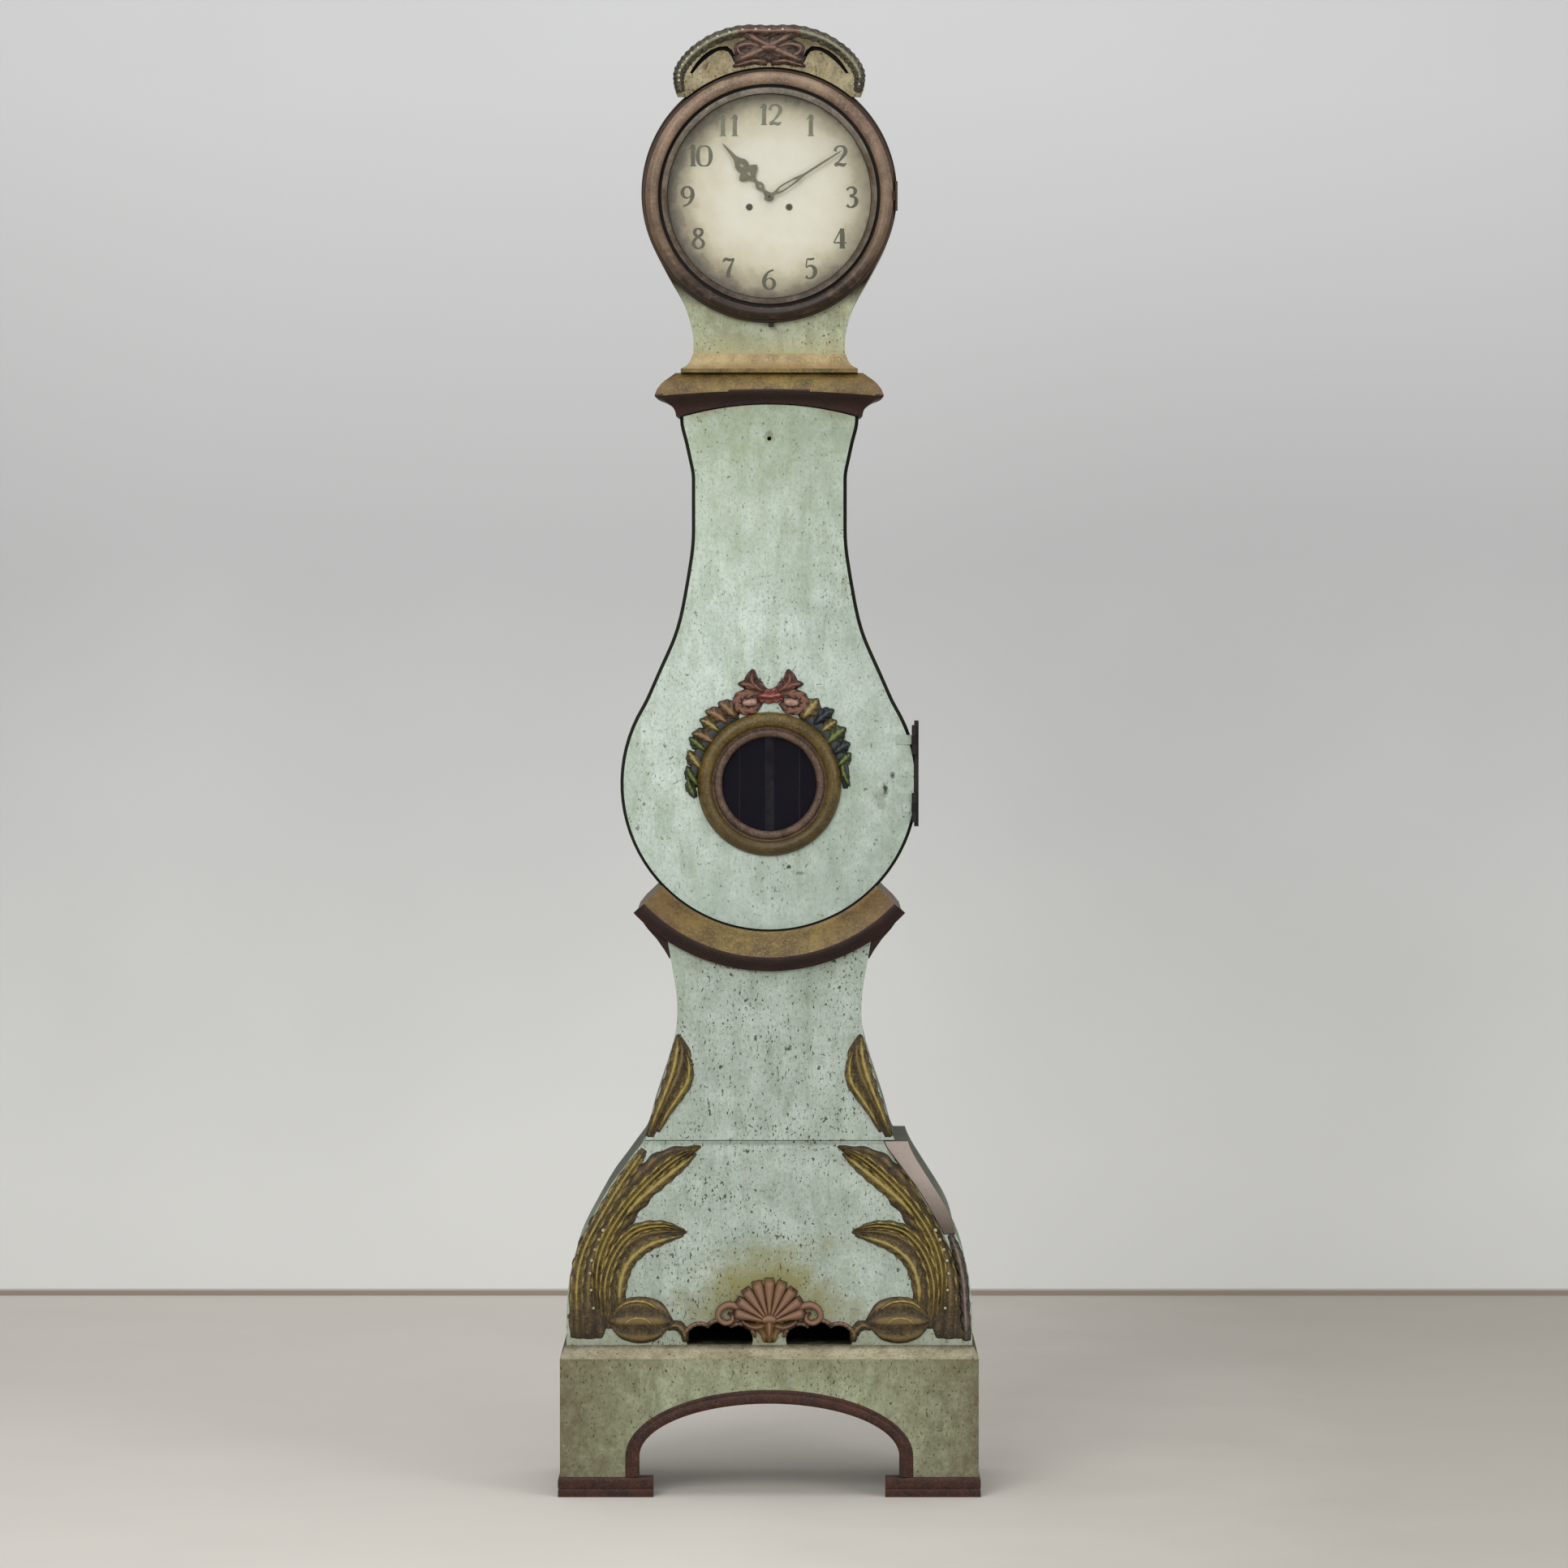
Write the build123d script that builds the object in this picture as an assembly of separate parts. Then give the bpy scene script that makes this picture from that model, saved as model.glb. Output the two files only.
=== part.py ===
from build123d import *
import os
from math import atan2, cos, degrees, hypot, pi, radians, sin, sqrt

# A Swedish longcase (Mora) clock. Millimetres, Z up, the front faces -Y.
# The origin is on the floor, under the middle of the plinth.

# ------------------------------------------------------------------ driving dimensions

# clearances
joint_gap = 0.3          # between a moving body and what it lies on
door_gap = 1.5           # round the trunk door
run_fit = 0.05           # radial, a pivot or pin in its hole
glass_gap = 0.3          # between a pane and its rebate

# depths (y), front to back
depth_half = 140.0       # the plinth reaches this far to the front and to the back
trim_proud = 3.0         # bead and foot bands, proud of the plinth
board = 20.0             # front boards and trunk door
side_board = 14.0        # shaped side boards, cheeks
back_board = 12.0
ledge = 33.0             # from the plinth's face back to the face of the case

# plinth
plinth_half = 299.5
plinth_height = 198.0
plinth_cap = 16.0        # sloped top board
arch_half = 186.0
arch_spring = 58.0
arch_rise = 76.0
bead_wide = 20.0
foot_band_height = 29.0
foot_inner = 166.0       # the foot bands come this far in
glue_block = 36.0

# base: half width against height, from the plinth's cap to the waist
base_run = [(291.0, 214.0), (290.6, 265.0), (286.0, 313.0), (276.0, 352.0), (252.3, 400.0),
            (221.0, 452.4), (209.0, 468.0), (194.5, 488.0), (180.5, 507.0), (170.0, 540.0),
            (159.5, 574.0), (142.7, 626.0), (133.5, 668.0), (131.7, 700.0), (134.5, 731.0),
            (140.5, 766.0), (147.5, 810.0), (150.9, 868.7)]
seam_height = 509.0      # between the two front boards of the base
seam_gap = 1.2
scallop_middle = 71.5    # the two scalloped vents over the plinth
scallop_radius = 20.0
scallop_pitch = 28.0
scallop_rise = 13.0
glue_block_low = 20.0
plinth_rail = 60.0       # height of the rail along the plinth's back

# on the right the side board shows beside the lower front board, and bulges beyond the outline
strip_wide = 14.0
strip_gap = 1.2
strip_back = 2.0         # behind the face
strip_run = [(267.0, 374.0), (259.5, 400.0), (245.5, 426.0), (228.5, 452.4), (217.5, 470.0),
             (206.0, 489.0), (198.5, 507.0)]

# carving on the base
leaf_thick = 10.0
edge_margin = 3.0        # carving stays this far inside the outline
upper_leaf = [(-133, 664), (-118, 646), (-108, 620), (-108, 594), (-118, 578), (-134, 560),
              (-150, 536), (-161, 513), (-196, 513), (-160, 590), (-138, 650)]
lower_leaf = [(-200, 505), (-150, 504), (-92, 495), (-112, 474), (-150, 436), (-182, 404),
              (-150, 396), (-122, 391), (-108, 377), (-134, 359), (-164, 341), (-188, 316),
              (-194, 297), (-172, 294), (-150, 280), (-140, 258), (-122, 238), (-116, 217),
              (-330, 217), (-330, 400)]
shell_height = 258.0
shell_ribs = 7
shell_half = 55.0
shell_rise = 53.0
shell_thick = 16.0
scroll_x = 58.0
scroll_radius = 15.0
scroll_thick = 11.0
vent_border = 6.0
vent_border_thick = 7.0

# trunk
belly_radius = 213.4
belly_height = 1019.6    # centre of the belly and of the pendulum window
belly_end = 31.0         # degrees above the horizontal where the belly's arc ends
belly_fall = [(0.236, 0.142), (0.454, 0.278), (0.655, 0.4145), (0.831, 0.619), (0.942, 0.804)]
waist_half = 110.8       # (belly_fall: parts of the width and the height between belly and waist)
waist_low = 1385.0
waist_high = 1455.0
shoulder_half = 127.6
shoulder_height = 1542.0
shoulder_flare = [(0.226, 0.276), (0.69, 0.676)]
trunk_top = 1592.0
top_frame = 14.0
door_inset = 5.2         # door edge inside the case's outline
hinge_line = 207.0       # x of the trunk door's hinge axis
stile_under = 60.6       # the hinge stile's ends, under and over the belly's centre
stile_over = 90.4
screw_x = -66.0          # hole for the screw into the wall
screw_height = 1480.0
screw_radius = 3.0
trunk_pin = 1.6          # radii of the hinge's pin and knuckles
trunk_knuckle = 3.6
trunk_hinge_forward = 4.2    # hinge axis in front of the face
trunk_hinge_long = 42.0
hinge_end = 6.0          # from a hinge to the stile's end
leaf_plate = 1.2
lock_height = 1512.6
lock_half = 24.0
lock_deep = 15.0
bolt_half = 7.0
bolt_rest_gap = 5.0      # from the drawn bolt's end up to the door's top edge
keyhole = 3.0

# window
window_ring_outer = 103.0
window_ring_groove = 80.0
window_open = 67.5
window_hole = 74.0
ring_proud = 14.0
pane = 2.5

# garland and bow over the window, as (x, height over the belly's centre)
garland_leaf = [(-50, 131), (-74, 120), (-93, 106), (-108, 88), (-116, 66), (-120, 44), (-119, 15),
                (-112, -8), (-98, -22), (-80, 40), (-40, 90)]
garland_thick = 11.0
bow_thick = 12.0
bow_knot = (2.0, 126.0)
bow_knot_radius = 12.0
bow_loops = [(-27, 150, 16), (31, 147, 16), (-38, 116, 15), (35, 113, 15)]      # and their radii
bow_band = 4.0           # half width of a band from the knot to a loop

# mouldings
moulding_inner = 211.0
moulding_nose = 246.0
moulding_outer = 268.0
moulding_end = 43.5      # degrees under the horizontal where the arc ends
moulding_proud = 34.0
arch_radius = 448.0      # arched lower edge of the cornice
arch_crown = 1562.5
cornice_proud = 35.0
nose_crown = 1580.0
nose_radius = 1003.0

# hood
dial_height = 1857.2
hood_radius = 182.0
hood_lift = 3.8          # centre of the hood's outline over the dial's centre
hood_end = 28.0          # degrees under the horizontal where the arc ends
neck_half = 108.0
neck_high = 1650.0
hood_fall = [(0.053, 0.162), (0.266, 0.438), (0.636, 0.717)]
shell_board = 8.0
foot_half = 126.0
foot_high = 1633.0
hood_hole = 152.0
bezel_outer = 180.4
bezel_open = 144.5
bezel_proud = 23.0
bezel_flat = 176.5       # x of the flat that carries the bezel's hinge
hood_pin_x = 180.3
hood_pin_forward = 4.0   # hinge axis in front of the hood's face
hood_pin = 1.0
hood_knuckle = 2.4
hood_hinge_long = 42.0
pull_x = 3.0             # iron pull under the bezel
pull_half = 4.0
pull_drop = 5.5

# crest, as (x, height over the dial's centre)
crest_run = [(132.0, 139.8), (138.0, 160.8), (136.3, 178.8), (124.7, 197.8), (106.7, 215.3),
             (77.0, 232.8), (38.0, 242.8)]
crescent = [(113, 174), (104, 188), (95, 198), (84, 206), (72, 211), (60, 212), (52.5, 206), (48, 197),
            (47, 190), (50.5, 190), (54, 198), (58.5, 204), (66, 206), (74, 204.5), (83, 199), (92, 192),
            (101, 183), (109, 173)]
crescent_deep = 8.0
crest_board_thick = 12.0
crest_band_thick = 10.0
crest_band_wide = 19.0
crest_gap = 2.0          # between the crest and the bezel's rim, so that the bezel can swing

# dial and hands
dial_radius = 158.0
dial_plate = 2.0
dial_set_back = 4.0          # the dial's face lies this far behind the hood's front board
winding_x = 28.4
winding_drop = 14.5
winding_hole = 5.0
winding_square = 2.2         # half its side
winding_end = 3.5            # a square's end in front of the dial
hour_hand_length = 102.0
hour_hand_angle = 318.7      # degrees clockwise from 12
minute_hand_length = 123.6
minute_hand_angle = 57.6
hand_thick = 1.2
hand_clear = 5.0             # from the dial to the back of the hour hand
hand_step = 4.0              # from the hour hand to the minute hand
hand_hub = 1.5               # width of a hand round its pipe
hour_pipe = 5.0              # radii of the pipes that carry the hands
cannon_pipe = 3.6
centre_arbor_radius = 2.2

# movement
plate = 3.0
plate_half = 60.0
plate_low = 1786.0
plate_high = 1945.0
dial_feet = 12.0         # from the dial's back to the front plate
plates_apart = 62.0
pivot = 1.5
drum_radius = 14.0
drum_long = 36.0
great_teeth = 96
centre_leaves = 8
centre_teeth = 64
third_leaves = 8
third_teeth = 60
escape_leaves = 8
escape_teeth = 30
escape_radius = 17.0
centre_module = 0.7
third_module = 0.65
anchor_height = 1927.0
cannon_teeth = 12
minute_teeth = 36
minute_leaves = 12
hour_teeth = 48
minute_module = 1.0
strike_great_teeth = 72
pin_leaves = 9
pin_teeth = 60
strike_third_leaves = 8
strike_third_teeth = 56
fly_leaves = 8
strike_module = 0.7
pin_module = 0.6
fly_module = 0.5
wheel_rows = [(-1.35, 0.26), (0.0, 0.20), (0.55, 0.14), (0.9, 0.06)]     # (modules from the pitch circle,
pinion_rows = [(-1.25, 0.12), (0.0, 0.15), (0.45, 0.09)]                 # half thickness in pitches)
motion_rows = [(-1.1, 0.30), (0.0, 0.22), (0.75, 0.10)]
hammer_at = (-50.0, 1912.0)
bell_x = 37.0
bell_radius = 32.0
bell_mouth = 1956.0
bell_high = 30.0
bell_wall = 2.4

# weights and pendulum
line_radius = 0.9
weight_radius = 29.0
weight_high = 170.0
weight_top = 480.0       # top of a weight that has run down
pendulum_y = 16.0
rod_wide = 13.0
rod_thick = 3.0
bob_radius = 55.0
bob_thick = 28.0
bob_height = 889.0
seat_thick = 18.0
cheek_front = -72.0
cheek_back = 30.0
seat_back = 6.0

# ------------------------------------------------------------------ derived places

face_y = -depth_half + trim_proud + ledge            # face of the front boards
carcass_y = face_y + board                           # front edge of the side boards
rear_y = depth_half - back_board                     # face of the back board
plinth_y = -depth_half + trim_proud
cap_top = plinth_height + plinth_cap
waist_joint = base_run[-1][1]                        # base and trunk boards meet here
frame_top = trunk_top + top_frame
door_radius = belly_radius - door_inset
door_y = carcass_y - joint_gap - 0.1                 # back of the trunk door
door_face_y = face_y - joint_gap - 0.1
stile_low = belly_height - stile_under
stile_high = belly_height + stile_over
arch_z = arch_crown - arch_radius
hood_z = dial_height + hood_lift
hood_floor = frame_top + joint_gap
dial_back_y = carcass_y + dial_set_back + dial_plate
front_plate_y = dial_back_y + dial_feet
inside_y = front_plate_y + plate
back_plate_y = inside_y + plates_apart
hour_hand_y = dial_back_y - dial_plate - hand_clear
minute_hand_y = hour_hand_y - hand_step
bell_y = back_plate_y - 30.0
hammer_head = (-bell_x - bell_radius - 7.8, bell_mouth + 4.0)
plate_rear_y = back_plate_y + plate
winding_z = dial_height - winding_drop
line_x = winding_x + drum_radius + line_radius
drum_y = inside_y + 5.0
drum_end_y = drum_y + drum_long
great_y = drum_end_y + 2.0
wheel_thick = 2.4
great_module = 2 * hypot(winding_x, winding_drop) / (great_teeth + centre_leaves)
escape_z = anchor_height - escape_radius * sqrt(2.0)

os.makedirs("parts", exist_ok=True)
nodes = {}


# ------------------------------------------------------------------ shape helpers

def box(x0, x1, y0, y1, z0, z1):
    """A box given by its limits."""
    return Pos((x0 + x1) / 2, (y0 + y1) / 2, (z0 + z1) / 2) * Box(x1 - x0, y1 - y0, z1 - z0)


def rod_y(x, z, r, y0, y1):
    """A round bar along Y."""
    return Pos(x, (y0 + y1) / 2, z) * Rot(90, 0, 0) * Cylinder(r, y1 - y0)


def rod_z(x, y, r, z0, z1):
    """A round bar along Z."""
    return Pos(x, y, (z0 + z1) / 2) * Cylinder(r, z1 - z0)


def slab(edges, y0, y1):
    """A flat piece with a closed outline of edges in the XZ plane, from y0 to y1."""
    return Pos(0, y1, 0) * extrude(Face(Wire(edges)), amount=y1 - y0, dir=(0, -1, 0))


def plate_of(points, y0, y1):
    """A flat piece with straight edges through (x, z) points, from y0 to y1."""
    wire = Wire.make_polygon([(x, 0, z) for x, z in points], close=True)
    return Pos(0, y1, 0) * extrude(Face(wire), amount=y1 - y0, dir=(0, -1, 0))


def turned_y(profile, x, z, arc=360.0):
    """A piece turned about an axis along Y through (x, z), from (radius, y) points."""
    wire = Wire.make_polygon([(r, y, 0) for r, y in profile], close=True)
    return Pos(x, 0, z) * revolve(Face(wire), axis=Axis.Y, revolution_arc=arc)


def turned_z(profile, x, y):
    """A piece turned about an upright axis through (x, y), from (radius, z) points."""
    wire = Wire.make_polygon([(r, 0, z) for r, z in profile], close=True)
    return Pos(x, y, 0) * revolve(Face(wire), axis=Axis.Z)


def through(run, side, start=None, end=None):
    """A smooth edge through (x, z) points, with optional directions at its ends; side -1 mirrors it."""
    points = [(side * x, 0, z) for x, z in run]
    if start is None:
        return Spline(points)
    return Spline(points, tangents=[(side * start[0], 0, start[1]), (side * end[0], 0, end[1])])


def straight(a, b, side=1):
    """A straight edge between two (x, z) points; side -1 mirrors it."""
    return Line((side * a[0], 0, a[1]), (side * b[0], 0, b[1]))


def cap_arc(end, top):
    """A round edge from a right-hand end, over (or under) the middle, to its mirror image."""
    return ThreePointArc((end[0], 0, end[1]), (0, 0, top), (-end[0], 0, end[1]))


def between(low, high, parts):
    """Points between two (x, z) points, from (part of the width, part of the height) away from low."""
    return [(low[0] + a * (high[0] - low[0]), low[1] + b * (high[1] - low[1])) for a, b in parts]


def inset(run, d):
    """A run of (x, z) points going up, moved square to itself towards x = 0 by d."""
    moved = []
    for i, (x, z) in enumerate(run):
        before = run[max(i - 1, 0)]
        after = run[min(i + 1, len(run) - 1)]
        dx = after[0] - before[0]
        dz = after[1] - before[1]
        length = hypot(dx, dz)
        moved.append((x - d * dz / length, z + d * dx / length))
    return moved


def both_sides(half_outline, bottom=None, top=None):
    """Close an outline from a function that gives the edges of one side, from the bottom up.

    Without a bottom or top edge of its own, the outline is closed there by a level one.
    """
    right = half_outline(1)
    low = right[0] @ 0
    high = right[-1] @ 1
    bottom = bottom or straight((-low.X, low.Z), (low.X, low.Z))
    top = top or straight((high.X, high.Z), (-high.X, high.Z))
    return right + [top] + half_outline(-1) + [bottom]


def keep_between(solid, z0, z1):
    """The part of a solid between two heights."""
    wide = 2 * plinth_half
    return solid & box(-wide, wide, -wide, wide, z0, z1)


def keep_side(solid, side):
    """The right (1) or left (-1) half of a solid."""
    wide = 2 * plinth_half
    tall = 2 * plate_high
    if side > 0:
        return solid & box(0, wide, -wide, wide, -tall, tall)
    return solid & box(-wide, 0, -wide, wide, -tall, tall)


def mirrored(solid):
    """The same piece on the other side of the middle."""
    return solid.mirror(Plane.YZ)


def node(name, *solids):
    """Keep one sub-part: one or more separate solids under one name."""
    pieces = []
    for solid in solids:
        pieces.extend(solid.solids())
    nodes[name] = Compound(children=pieces) if len(pieces) > 1 else pieces[0]


# ------------------------------------------------------------------ outlines of the case

def base_body(d, y0, y1):
    """The base's full outline, d inside its faces."""
    run = inset(base_run, d)
    run[0] = (run[0][0], base_run[0][1])
    run[-1] = (run[-1][0], base_run[-1][1])
    return slab(both_sides(lambda side: [through(run, side)]), y0, y1)


def trunk_shoulder(d):
    """Where the belly's arc ends, d inside the outline."""
    r = belly_radius - d
    a = radians(belly_end)
    return r * cos(a), belly_height + r * sin(a)


def trunk_edges(d, side):
    """The edges of one side of the trunk's outline, d inside its faces."""
    a = radians(belly_end)
    end = trunk_shoulder(d)
    belly = (belly_radius * cos(a), belly_height + belly_radius * sin(a))
    waist = (waist_half, waist_low)
    rise = inset([belly] + between(belly, waist, belly_fall) + [waist], d)
    rise[0] = end
    rise[-1] = (waist_half - d, waist_low)
    waist = (waist_half, waist_high)
    shoulder = (shoulder_half, shoulder_height)
    flare = inset([waist] + between(waist, shoulder, shoulder_flare) + [shoulder], d)
    flare[0] = (waist_half - d, waist_high)
    flare[-1] = (shoulder_half - d, shoulder_height)
    return [through(rise, side, (-sin(a), cos(a)), (0, 1)),
            straight(rise[-1], flare[0], side),
            through(flare, side, (0, 1), (0, 1)),
            straight(flare[-1], (shoulder_half - d, trunk_top), side)]


def trunk_body(d, y0, y1):
    """The trunk's full outline, d inside its faces."""
    belly = cap_arc(trunk_shoulder(d), belly_height - belly_radius + d)
    return slab(both_sides(lambda side: trunk_edges(d, side), bottom=belly), y0, y1)


def hood_cheek(d):
    """Where the hood's round part ends, d inside the outline."""
    r = hood_radius - d
    a = radians(hood_end)
    return r * cos(a), hood_z - r * sin(a)


def hood_edges(d, floor, side):
    """The edges of one side of the hood's outline, d inside its faces."""
    a = radians(hood_end)
    start = hood_cheek(d)
    neck = (neck_half, neck_high)
    cheek = (hood_radius * cos(a), hood_z - hood_radius * sin(a))
    fall = inset([neck] + between(neck, cheek, hood_fall) + [cheek], d)
    fall[0] = (neck_half - d, neck_high)
    fall[-1] = start
    return [straight((neck_half - d, floor), fall[0], side),
            through(fall, side, (0, 1), (sin(a), cos(a)))]


def hood_body(d, y0, y1, floor):
    """The hood's full outline, d inside its faces."""
    crown = cap_arc(hood_cheek(d), hood_z + hood_radius - d)
    return slab(both_sides(lambda side: hood_edges(d, floor, side), top=crown), y0, y1)


# ------------------------------------------------------------------ plinth

def plinth_arch(grow, y0, y1):
    """The opening between the feet, grown outwards."""
    half = arch_half + grow
    rise = arch_rise + grow
    crown = Ellipse(half, rise)
    upper = Pos(0, y1, arch_spring) * Rot(90, 0, 0) * extrude(crown, amount=y1 - y0)
    lower = box(-half, half, y0, y1, -1.0, arch_spring)
    return keep_between(upper, arch_spring, plinth_height) + lower


def make_plinth():
    inner = plinth_half - side_board
    front = box(-plinth_half, plinth_half, plinth_y, plinth_y + board, 0, plinth_height)
    node("plinth_front", front - plinth_arch(0, plinth_y - 1, plinth_y + board + 1))

    side = box(inner, plinth_half, plinth_y + board, depth_half, 0, plinth_height)
    blocks = []
    for block_y in (plinth_y + board, depth_half - back_board - glue_block):
        blocks.append(box(inner - glue_block, inner, block_y, block_y + glue_block, glue_block_low,
                          plinth_height))
    rail = box(-inner, inner, rear_y, depth_half, plinth_height - plinth_rail, plinth_height)
    node("plinth_boards", side, mirrored(side), rail, *blocks, *[mirrored(b) for b in blocks])

    # the cap slopes from the plinth's face up to the face of the case
    low = Face(Wire.make_polygon([(-plinth_half, plinth_y, plinth_height),
                                  (plinth_half, plinth_y, plinth_height),
                                  (plinth_half, depth_half, plinth_height),
                                  (-plinth_half, depth_half, plinth_height)], close=True))
    half = base_run[0][0] + 1.0
    cap_y = face_y - 1.0
    high = Face(Wire.make_polygon([(-half, cap_y, cap_top), (half, cap_y, cap_top),
                                   (half, depth_half, cap_top), (-half, depth_half, cap_top)], close=True))
    node("plinth_top", loft([low, high], ruled=True))

    bead = plinth_arch(bead_wide, plinth_y - trim_proud, plinth_y) - plinth_arch(0, -400, 400)
    bead = keep_between(bead, foot_band_height, plinth_height)
    band = box(foot_inner, plinth_half + trim_proud, plinth_y - trim_proud, plinth_y, 0, foot_band_height)
    band += box(foot_inner, arch_half, plinth_y, plinth_y + board, 0, foot_band_height)
    band += box(plinth_half, plinth_half + trim_proud, plinth_y, depth_half, 0, foot_band_height)
    node("plinth_trim", bead, band, mirrored(band))


# ------------------------------------------------------------------ base

def scallops(grow, y0, y1):
    """The scalloped vent on the right, grown outwards."""
    hole = None
    for i in (-1, 0, 1):
        z = cap_top + (scallop_rise if i == 0 else scallop_rise - 5.0)
        disc = rod_y(scallop_middle + i * scallop_pitch, z, scallop_radius + grow, y0, y1)
        hole = disc if hole is None else hole + disc
    return keep_between(hole, cap_top, cap_top + 100)


def beside_board(y0, y1):
    """The place on the right that the lower front board leaves to the side board."""
    inner = inset(base_run, strip_wide + strip_gap)
    far_low = (2 * plinth_half, inner[0][1])
    far_high = (2 * plinth_half, inner[-1][1])
    edges = [through(inner, 1), straight(inner[-1], far_high), straight(far_high, far_low),
             straight(far_low, inner[0])]
    return keep_between(slab(edges, y0, y1), strip_run[0][1] - strip_gap, seam_height)


def side_strip():
    """The part of the right side board that comes forward and bulges."""
    low, high = strip_run[0][1], strip_run[-1][1]
    start, end = strip_run[0], strip_run[-1]
    bulge = slab([through(strip_run, 1), straight(end, (0, high)), straight((0, high), (0, low)),
                  straight((0, low), start)], face_y + strip_back, rear_y)
    inner = keep_between(base_body(strip_wide, face_y - 1, rear_y + 1), low - 1, high + 1)
    return keep_side(bulge - inner, 1)


def make_base():
    front = base_body(0, face_y, carcass_y)
    lower = keep_between(front, cap_top, seam_height - seam_gap) - beside_board(face_y - 1, carcass_y + 1)
    vent = scallops(0, face_y - 1, carcass_y + 1)
    node("base_front_lower", lower - vent - mirrored(vent))

    upper = keep_between(front, seam_height, waist_joint + 10)
    top = trunk_body(0, face_y, carcass_y)
    corner = keep_between(top, waist_joint, belly_height)
    a = radians(moulding_end)
    wedge = plate_of([(0, belly_height), (400 * cos(a), belly_height - 400 * sin(a)),
                      (0, belly_height - 400)], face_y, carcass_y)
    corner = corner & (wedge + mirrored(wedge))
    upper = upper + corner - rod_y(0, belly_height, door_radius + door_gap, face_y - 1, carcass_y + 1)
    node("base_front_upper", upper)

    walls = base_body(0, carcass_y, rear_y) - base_body(side_board, carcass_y - 1, rear_y + 1)
    walls = keep_between(walls, cap_top, waist_joint)
    shell = trunk_body(0, carcass_y, rear_y) - trunk_body(side_board, carcass_y - 1, rear_y + 1)
    shell = keep_between(shell, waist_joint, trunk_top - 0.001)
    right = keep_side(walls, 1) + side_strip()
    node("case_sides", right, keep_side(walls, -1), keep_side(shell, 1), keep_side(shell, -1))


def make_base_carving():
    limit = base_body(edge_margin, face_y - leaf_thick, face_y)
    leaves = []
    for outline in (upper_leaf, lower_leaf):
        leaf = plate_of(outline, face_y - leaf_thick, face_y) & limit
        leaves += [leaf, mirrored(leaf) - beside_board(face_y - leaf_thick - 1, face_y + 1)]
    node("base_leaves", *leaves)

    z = shell_height
    fan = []
    for i in range(shell_ribs + 1):
        a = radians(180 * i / shell_ribs)
        fan.append((shell_half * cos(a), z + shell_rise * sin(a)))
    fan += [(-40, z - 12), (-14, z - 22), (0, z - 38), (14, z - 22), (40, z - 12)]
    front = face_y - shell_thick
    under = plate_of(fan, front - 1, face_y + 1)
    leaf = plate_of(lower_leaf, front - 1, face_y + 1)
    side = scallops(vent_border, face_y - vent_border_thick, face_y)
    side += rod_y(scroll_x, z - 2, scroll_radius, face_y - scroll_thick, face_y)
    side = side - under - scallops(0, front - 1, face_y + 1)
    side = side & (base_body(edge_margin, front, face_y) - leaf - mirrored(leaf))
    node("base_shell", plate_of(fan, front, face_y), side, mirrored(side))


# ------------------------------------------------------------------ lower moulding

def make_lower_moulding():
    p = moulding_proud
    profile = [(moulding_inner, face_y), (moulding_inner, face_y - 8), (moulding_inner + 4, face_y - 10),
               (moulding_inner + 10, face_y - 18), (moulding_inner + 20, face_y - 27),
               (moulding_nose - 4, face_y - 32), (moulding_nose, face_y - p), (moulding_nose + 4, face_y - p),
               (moulding_nose + 6, face_y - 30), (moulding_nose + 9, face_y - 20),
               (moulding_nose + 15, face_y - 11), (moulding_outer, face_y - 6), (moulding_outer, face_y)]
    sweep_arc = 180 - 2 * moulding_end
    wire = Wire.make_polygon([(r, y, 0) for r, y in profile], close=True)
    arc = revolve(Face(wire), axis=Axis.Y, revolution_arc=sweep_arc)
    arc = Pos(0, 0, belly_height) * Rot(0, moulding_end, 0) * arc

    a = radians(moulding_end)
    top = (belly_radius * cos(a), belly_height - belly_radius * sin(a))
    nose = (moulding_outer * cos(a), belly_height - moulding_outer * sin(a))
    outline = [(top[0] - 30, top[1] + 4), top, (nose[0] - 14, nose[1] + 13), (nose[0] - 5, nose[1] + 2),
               (184.0, 826.0), (174.0, 812.0), (160.7, 797.0), (149.6, 781.0), (141.0, 764.0), (100, 764)]
    wing = plate_of(outline, face_y, rear_y)
    wing = wing - base_body(0, face_y - 1, rear_y + 1) - trunk_body(0, face_y - 1, rear_y + 1)
    wing = wing & box(120, 300, face_y, rear_y, 760, 900)
    node("lower_moulding", arc, wing, mirrored(wing))


# ------------------------------------------------------------------ trunk

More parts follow.
